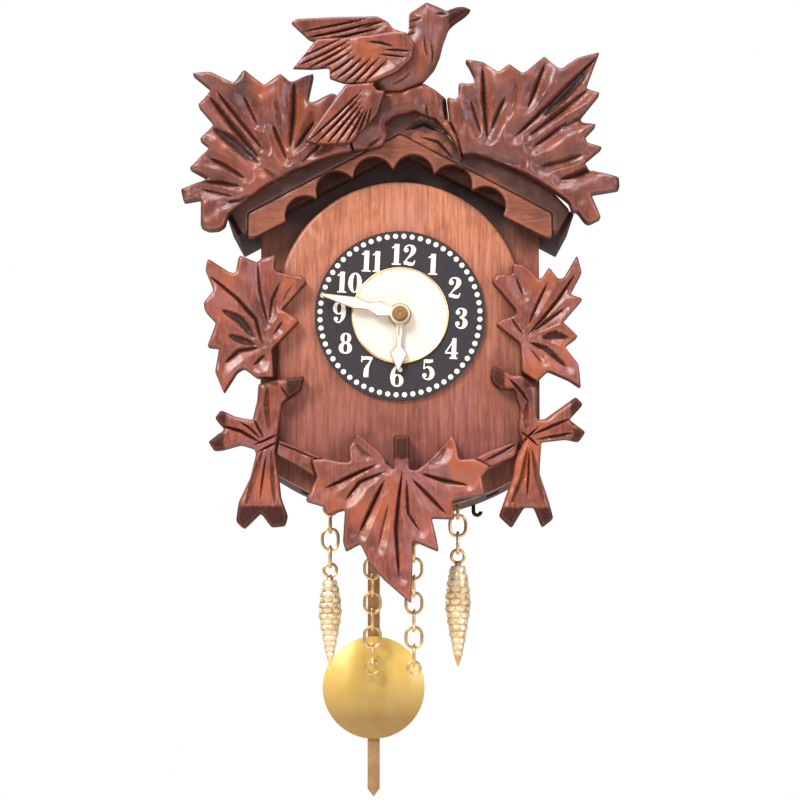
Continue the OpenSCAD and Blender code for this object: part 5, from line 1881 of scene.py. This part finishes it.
@dataclass
class ConeWeights:
    """The two weights, cast as long cones with overlapping scales."""

    rows: int = 14
    round_count: int = 7
    belly: float = 0.6
    shoulder: float = 0.42
    taper: float = 0.72
    ring_h: float = 4.6
    ring_r: float = 1.6
    ring_wire: float = 0.4
    core_share: float = 0.88
    scale_share: float = 0.9
    profile_steps: int = 25

    def swell(self, share: float) -> float:
        """Returns how wide a cone is at a share of its height from its tip."""
        if share < self.belly:
            return max(0.02, share / self.belly) ** self.taper
        return 1 - self.shoulder * ((share - self.belly) / (1 - self.belly)) ** 2

    def scale_shape(self, radius: float, step: float) -> bmesh.types.BMesh:
        """Shapes one scale, pointing down and out along +X."""
        shape = bmesh.new()
        wide = 2 * math.pi * radius / self.round_count * 0.78
        spots = (
            (-0.6, -wide * 0.5, step * 0.62), (-0.6, wide * 0.5, step * 0.62),
            (-0.14, -wide * 0.5, 0.08), (0.22, 0.0, 0.2), (-0.14, wide * 0.5, 0.08),
            (-0.1, -wide * 0.34, -step * 0.3), (0.18, 0.0, -step * 0.38), (-0.1, wide * 0.34, -step * 0.3),
            (-0.65, -wide * 0.3, -step * 0.34), (-0.65, wide * 0.3, -step * 0.34),
        )
        verts = [shape.verts.new(s) for s in spots]
        for face in (
            (0, 1, 3), (0, 3, 2), (1, 4, 3), (2, 3, 6, 5), (3, 4, 7, 6),
            (5, 6, 8), (6, 9, 8), (6, 7, 9), (0, 2, 5, 8), (1, 9, 7, 4), (0, 8, 9, 1),
        ):
            shape.faces.new([verts[i] for i in face])
        bmesh.ops.recalc_face_normals(shape, faces=shape.faces)
        return shape

    def cast(self, maker: Maker, node: str, body: str) -> None:
        """Casts a cone.

        Args:
            maker: Makes the pieces.
            node: The frame node it stands for.
            body: The body it rides on.
        """
        low, high = span(node)
        at = (low + high) / 2
        radius = (high.x - low.x) / 2
        top, bottom = high.z - self.ring_h, low.z
        tall = top - bottom
        profile = [(0.0, bottom)]
        for k in range(1, self.profile_steps):
            share = k / self.profile_steps
            profile.append((radius * self.core_share * self.swell(share), bottom + tall * share))
        profile += [(0.9, top), (0.75, top + 0.7), (1.0, top + 1.0), (0.6, top + 1.4), (0, top + 1.5)]
        core = mesh_from(lathe(profile, Vector((at.x, at.y, 0)), 20, "Z"), "core")
        # The core wears a darker brass than the scales: painted shade in the gaps between them.
        maker.settle(core, "core_" + node, body, Finish.BRASS)
        tree = GrowTree("scales_" + node)
        count = tree.size("Scales", self.rows * self.round_count, True)
        around = tree.size("Scales in a row", self.round_count)
        rows = tree.size("Rows", self.rows)
        wide, height = tree.size("Radius", 0.003), tree.size("Height", 0.02)
        across, deep, foot = (tree.size(n, 0.0) for n in ("Across", "Deep", "Foot"))
        index = tree.add("GeometryNodeInputIndex").outputs[0]
        row = tree.sum("FLOOR", tree.sum("DIVIDE", index, around))
        share = tree.sum("DIVIDE", tree.sum("ADD", row, 2.2), tree.sum("ADD", rows, 1.8))
        turn = tree.sum("MULTIPLY", tree.sum("ADD", index, tree.sum("MULTIPLY", row, 0.5)),
                        2 * math.pi / self.round_count)
        lower = tree.sum("POWER", tree.sum("MINIMUM", tree.sum("DIVIDE", share, self.belly), 1.0),
                         self.taper)
        over = tree.sum("MAXIMUM", tree.sum("DIVIDE", tree.sum("SUBTRACT", share, self.belly),
                                            1 - self.belly), 0.0)
        upper = tree.sum("MULTIPLY", tree.sum("MULTIPLY", over, over), self.shoulder)
        girth = tree.sum("SUBTRACT", lower, upper)
        far = tree.sum("MULTIPLY", tree.sum("MULTIPLY", girth, wide), self.scale_share)
        x = tree.sum("ADD", tree.sum("MULTIPLY", tree.sum("COSINE", turn), far), across)
        y = tree.sum("ADD", tree.sum("MULTIPLY", tree.sum("SINE", turn), far), deep)
        z = tree.sum("ADD", tree.sum("MULTIPLY", share, height), foot)
        pattern = pattern_from(self.scale_shape(radius, tall / self.rows), "scale")
        size = tree.sum("ADD", tree.sum("MULTIPLY", girth, 0.75), 0.25)
        tree.repeat(count, tree.place(x, y, z), tree.place(0.0, 0.0, turn), pattern,
                    maker.shelf[Finish.CONE], tree.place(size, size, 1.0))
        mesh = tree.grow({
            "Scales": self.rows * self.round_count, "Scales in a row": self.round_count,
            "Rows": self.rows, "Radius": radius * MM, "Height": tall * MM,
            "Across": at.x * MM, "Deep": at.y * MM, "Foot": bottom * MM,
        }, pattern)
        maker.settle(mesh, "scales_" + node, body, Finish.CONE, crease=25)
        wire = [
            (self.ring_r + self.ring_wire * math.cos(k * math.pi / 4),
             self.ring_wire * math.sin(k * math.pi / 4))
            for k in range(9)
        ]
        hoop = lathe(wire, Vector(), 32, "Y")
        drop = self.ring_r + self.ring_wire
        bmesh.ops.translate(hoop, vec=Vector((at.x, at.y, high.z - drop)), verts=hoop.verts)
        maker.settle(mesh_from(hoop, "ring"), "ring_" + node, body, Finish.BRASS, (node,))

    def build(self, maker: Maker) -> None:
        """Casts both weights.

        Args:
            maker: Makes the pieces.
        """
        self.cast(maker, "weight_left", "left_weight")
        self.cast(maker, "weight_right", "right_weight")


@dataclass
class Pendulum:
    """The rod and its domed bob."""

    crease: float = 35.0

    def build(self, maker: Maker) -> None:
        """Finishes the pendulum.

        Args:
            maker: Makes the pieces.
        """
        maker.wear("pendulum_rod", Finish.BRASS, maker.shelf.rod)
        bob = mesh_from(merged_copy("pendulum_bob"), "bob")
        maker.settle(
            bob, "domed_bob", "bob", Finish.BRASS, ("pendulum_bob",), maker.shelf.bob, self.crease
        )


@dataclass
class Works:
    """The movement, the hardware and everything else that keeps its frame shape."""

    slots: Tuple[Finish, ...] = tuple(Finish)

    def build(self, maker: Maker) -> None:
        """Dresses every frame node by its slot.

        Args:
            maker: Makes the pieces.
        """
        by_slot = {finish.value: finish for finish in self.slots}
        for name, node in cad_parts.items():
            held = [m.name.split(".")[0] for m in node.data.materials if m]
            finish = by_slot.get(held[0] if held else "", Finish.BRASS)
            maker.wear(name, finish)


@dataclass
class Studio:
    """The floor, the light and the camera."""

    far: float = 0.8
    wide: float = 0.2
    rise: float = -6.0
    aim: Tuple[float, float, float] = (0.0, -0.035, -0.040)
    sensor: float = 36.0
    floor_z: float = -0.30
    floor_half: float = 3.0
    glow: float = 0.36

    def lamp(
        self, name: str, place: Sequence[float], aim: Sequence[float], size: float, power: float,
        colour: Sequence[float] = (1.0, 1.0, 1.0),
    ) -> None:
        """Hangs a soft lamp.

        Args:
            name: The lamp's name.
            place: Where it hangs.
            aim: Where it points.
            size: Its side.
            power: Its power in watts.
            colour: Its colour.
        """
        light = bpy.data.lights.new(name, "AREA")
        light.size = size
        light.energy = power
        light.color = colour
        lamp = bpy.data.objects.new(name, light)
        lamp.location = place
        lamp.rotation_euler = (Vector(aim) - Vector(place)).to_track_quat("-Z", "Y").to_euler()
        bpy.context.scene.collection.objects.link(lamp)

    def build(self) -> None:
        """Sets the studio up."""
        scene = bpy.context.scene
        scene.view_settings.view_transform = "Standard"
        world = bpy.data.worlds.new("studio")
        world.use_nodes = True
        nodes, links = world.node_tree.nodes, world.node_tree.links
        nodes.clear()
        seen, glow = nodes.new("ShaderNodeBackground"), nodes.new("ShaderNodeBackground")
        seen.inputs[0].default_value = (1.0, 1.0, 1.0, 1.0)
        seen.inputs[1].default_value = 1.0
        glow.inputs[0].default_value = (0.96, 0.96, 1.0, 1.0)
        glow.inputs[1].default_value = self.glow
        path, mix = nodes.new("ShaderNodeLightPath"), nodes.new("ShaderNodeMixShader")
        output = nodes.new("ShaderNodeOutputWorld")
        links.new(path.outputs["Is Camera Ray"], mix.inputs[0])
        links.new(glow.outputs[0], mix.inputs[1])
        links.new(seen.outputs[0], mix.inputs[2])
        links.new(mix.outputs[0], output.inputs[0])
        scene.world = world
        shape = bmesh.new()
        bmesh.ops.create_grid(shape, x_segments=8, y_segments=8, size=self.floor_half)
        mesh = bpy.data.meshes.new("floor")
        shape.to_mesh(mesh)
        shape.free()
        for vertex in mesh.vertices:
            vertex.co.z = self.floor_z
        floor = bpy.data.objects.new("floor", mesh)
        wiring = Wiring("pale_floor")
        wiring.join(
            wiring.ramp(wiring.spots(0.01, 2), ((0.3, tint(236, 234, 232)), (0.7, tint(242, 241, 239)))),
            wiring.shader.inputs["Base Color"],
        )
        wiring.set(Roughness=0.8)
        mesh.materials.append(wiring.material)
        scene.collection.objects.link(floor)
        centre = (0.0, -0.03, -0.03)
        self.lamp("key", (-0.5, -0.75, 0.6), centre, 0.4, 11.0, (1.0, 0.97, 0.94))
        self.lamp("fill", (0.7, -0.6, 0.25), centre, 0.5, 3.5, (0.9, 0.86, 1.0))
        self.lamp("top", (0.05, -0.25, 0.8), centre, 0.35, 4.5, (0.93, 0.88, 1.0))
        self.lamp("rear", (-0.3, 0.7, 0.5), centre, 0.6, 5.0)
        lens = bpy.data.cameras.new("view")
        lens.sensor_width = self.sensor
        lens.lens = self.sensor * self.far / self.wide
        lens.clip_start, lens.clip_end = 0.01, 20
        camera = bpy.data.objects.new("view", lens)
        angle = math.radians(self.rise)
        aim = Vector(self.aim)
        camera.location = aim + Vector((0, -math.cos(angle), math.sin(angle))) * self.far
        camera.rotation_euler = (aim - camera.location).to_track_quat("-Z", "Y").to_euler()
        scene.collection.objects.link(camera)
        scene.camera = camera
        LOG.info("studio ready")


def main() -> None:
    """Builds every part of the clock's looks in order."""
    logging.basicConfig(level=logging.INFO, format="%(name)s: %(message)s")
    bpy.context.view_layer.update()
    Studio().build()
    maker = Maker(FinishShelf())
    Works().build(maker)
    CaseWork().build(maker)
    CrownCarvings().build(maker)
    BirdCarving().build(maker)
    FrontCarvings().build(maker)
    Dial().build(maker)
    ChainSet().build(maker)
    ConeWeights().build(maker)
    Pendulum().build(maker)


if __name__ == "__main__":
    main()
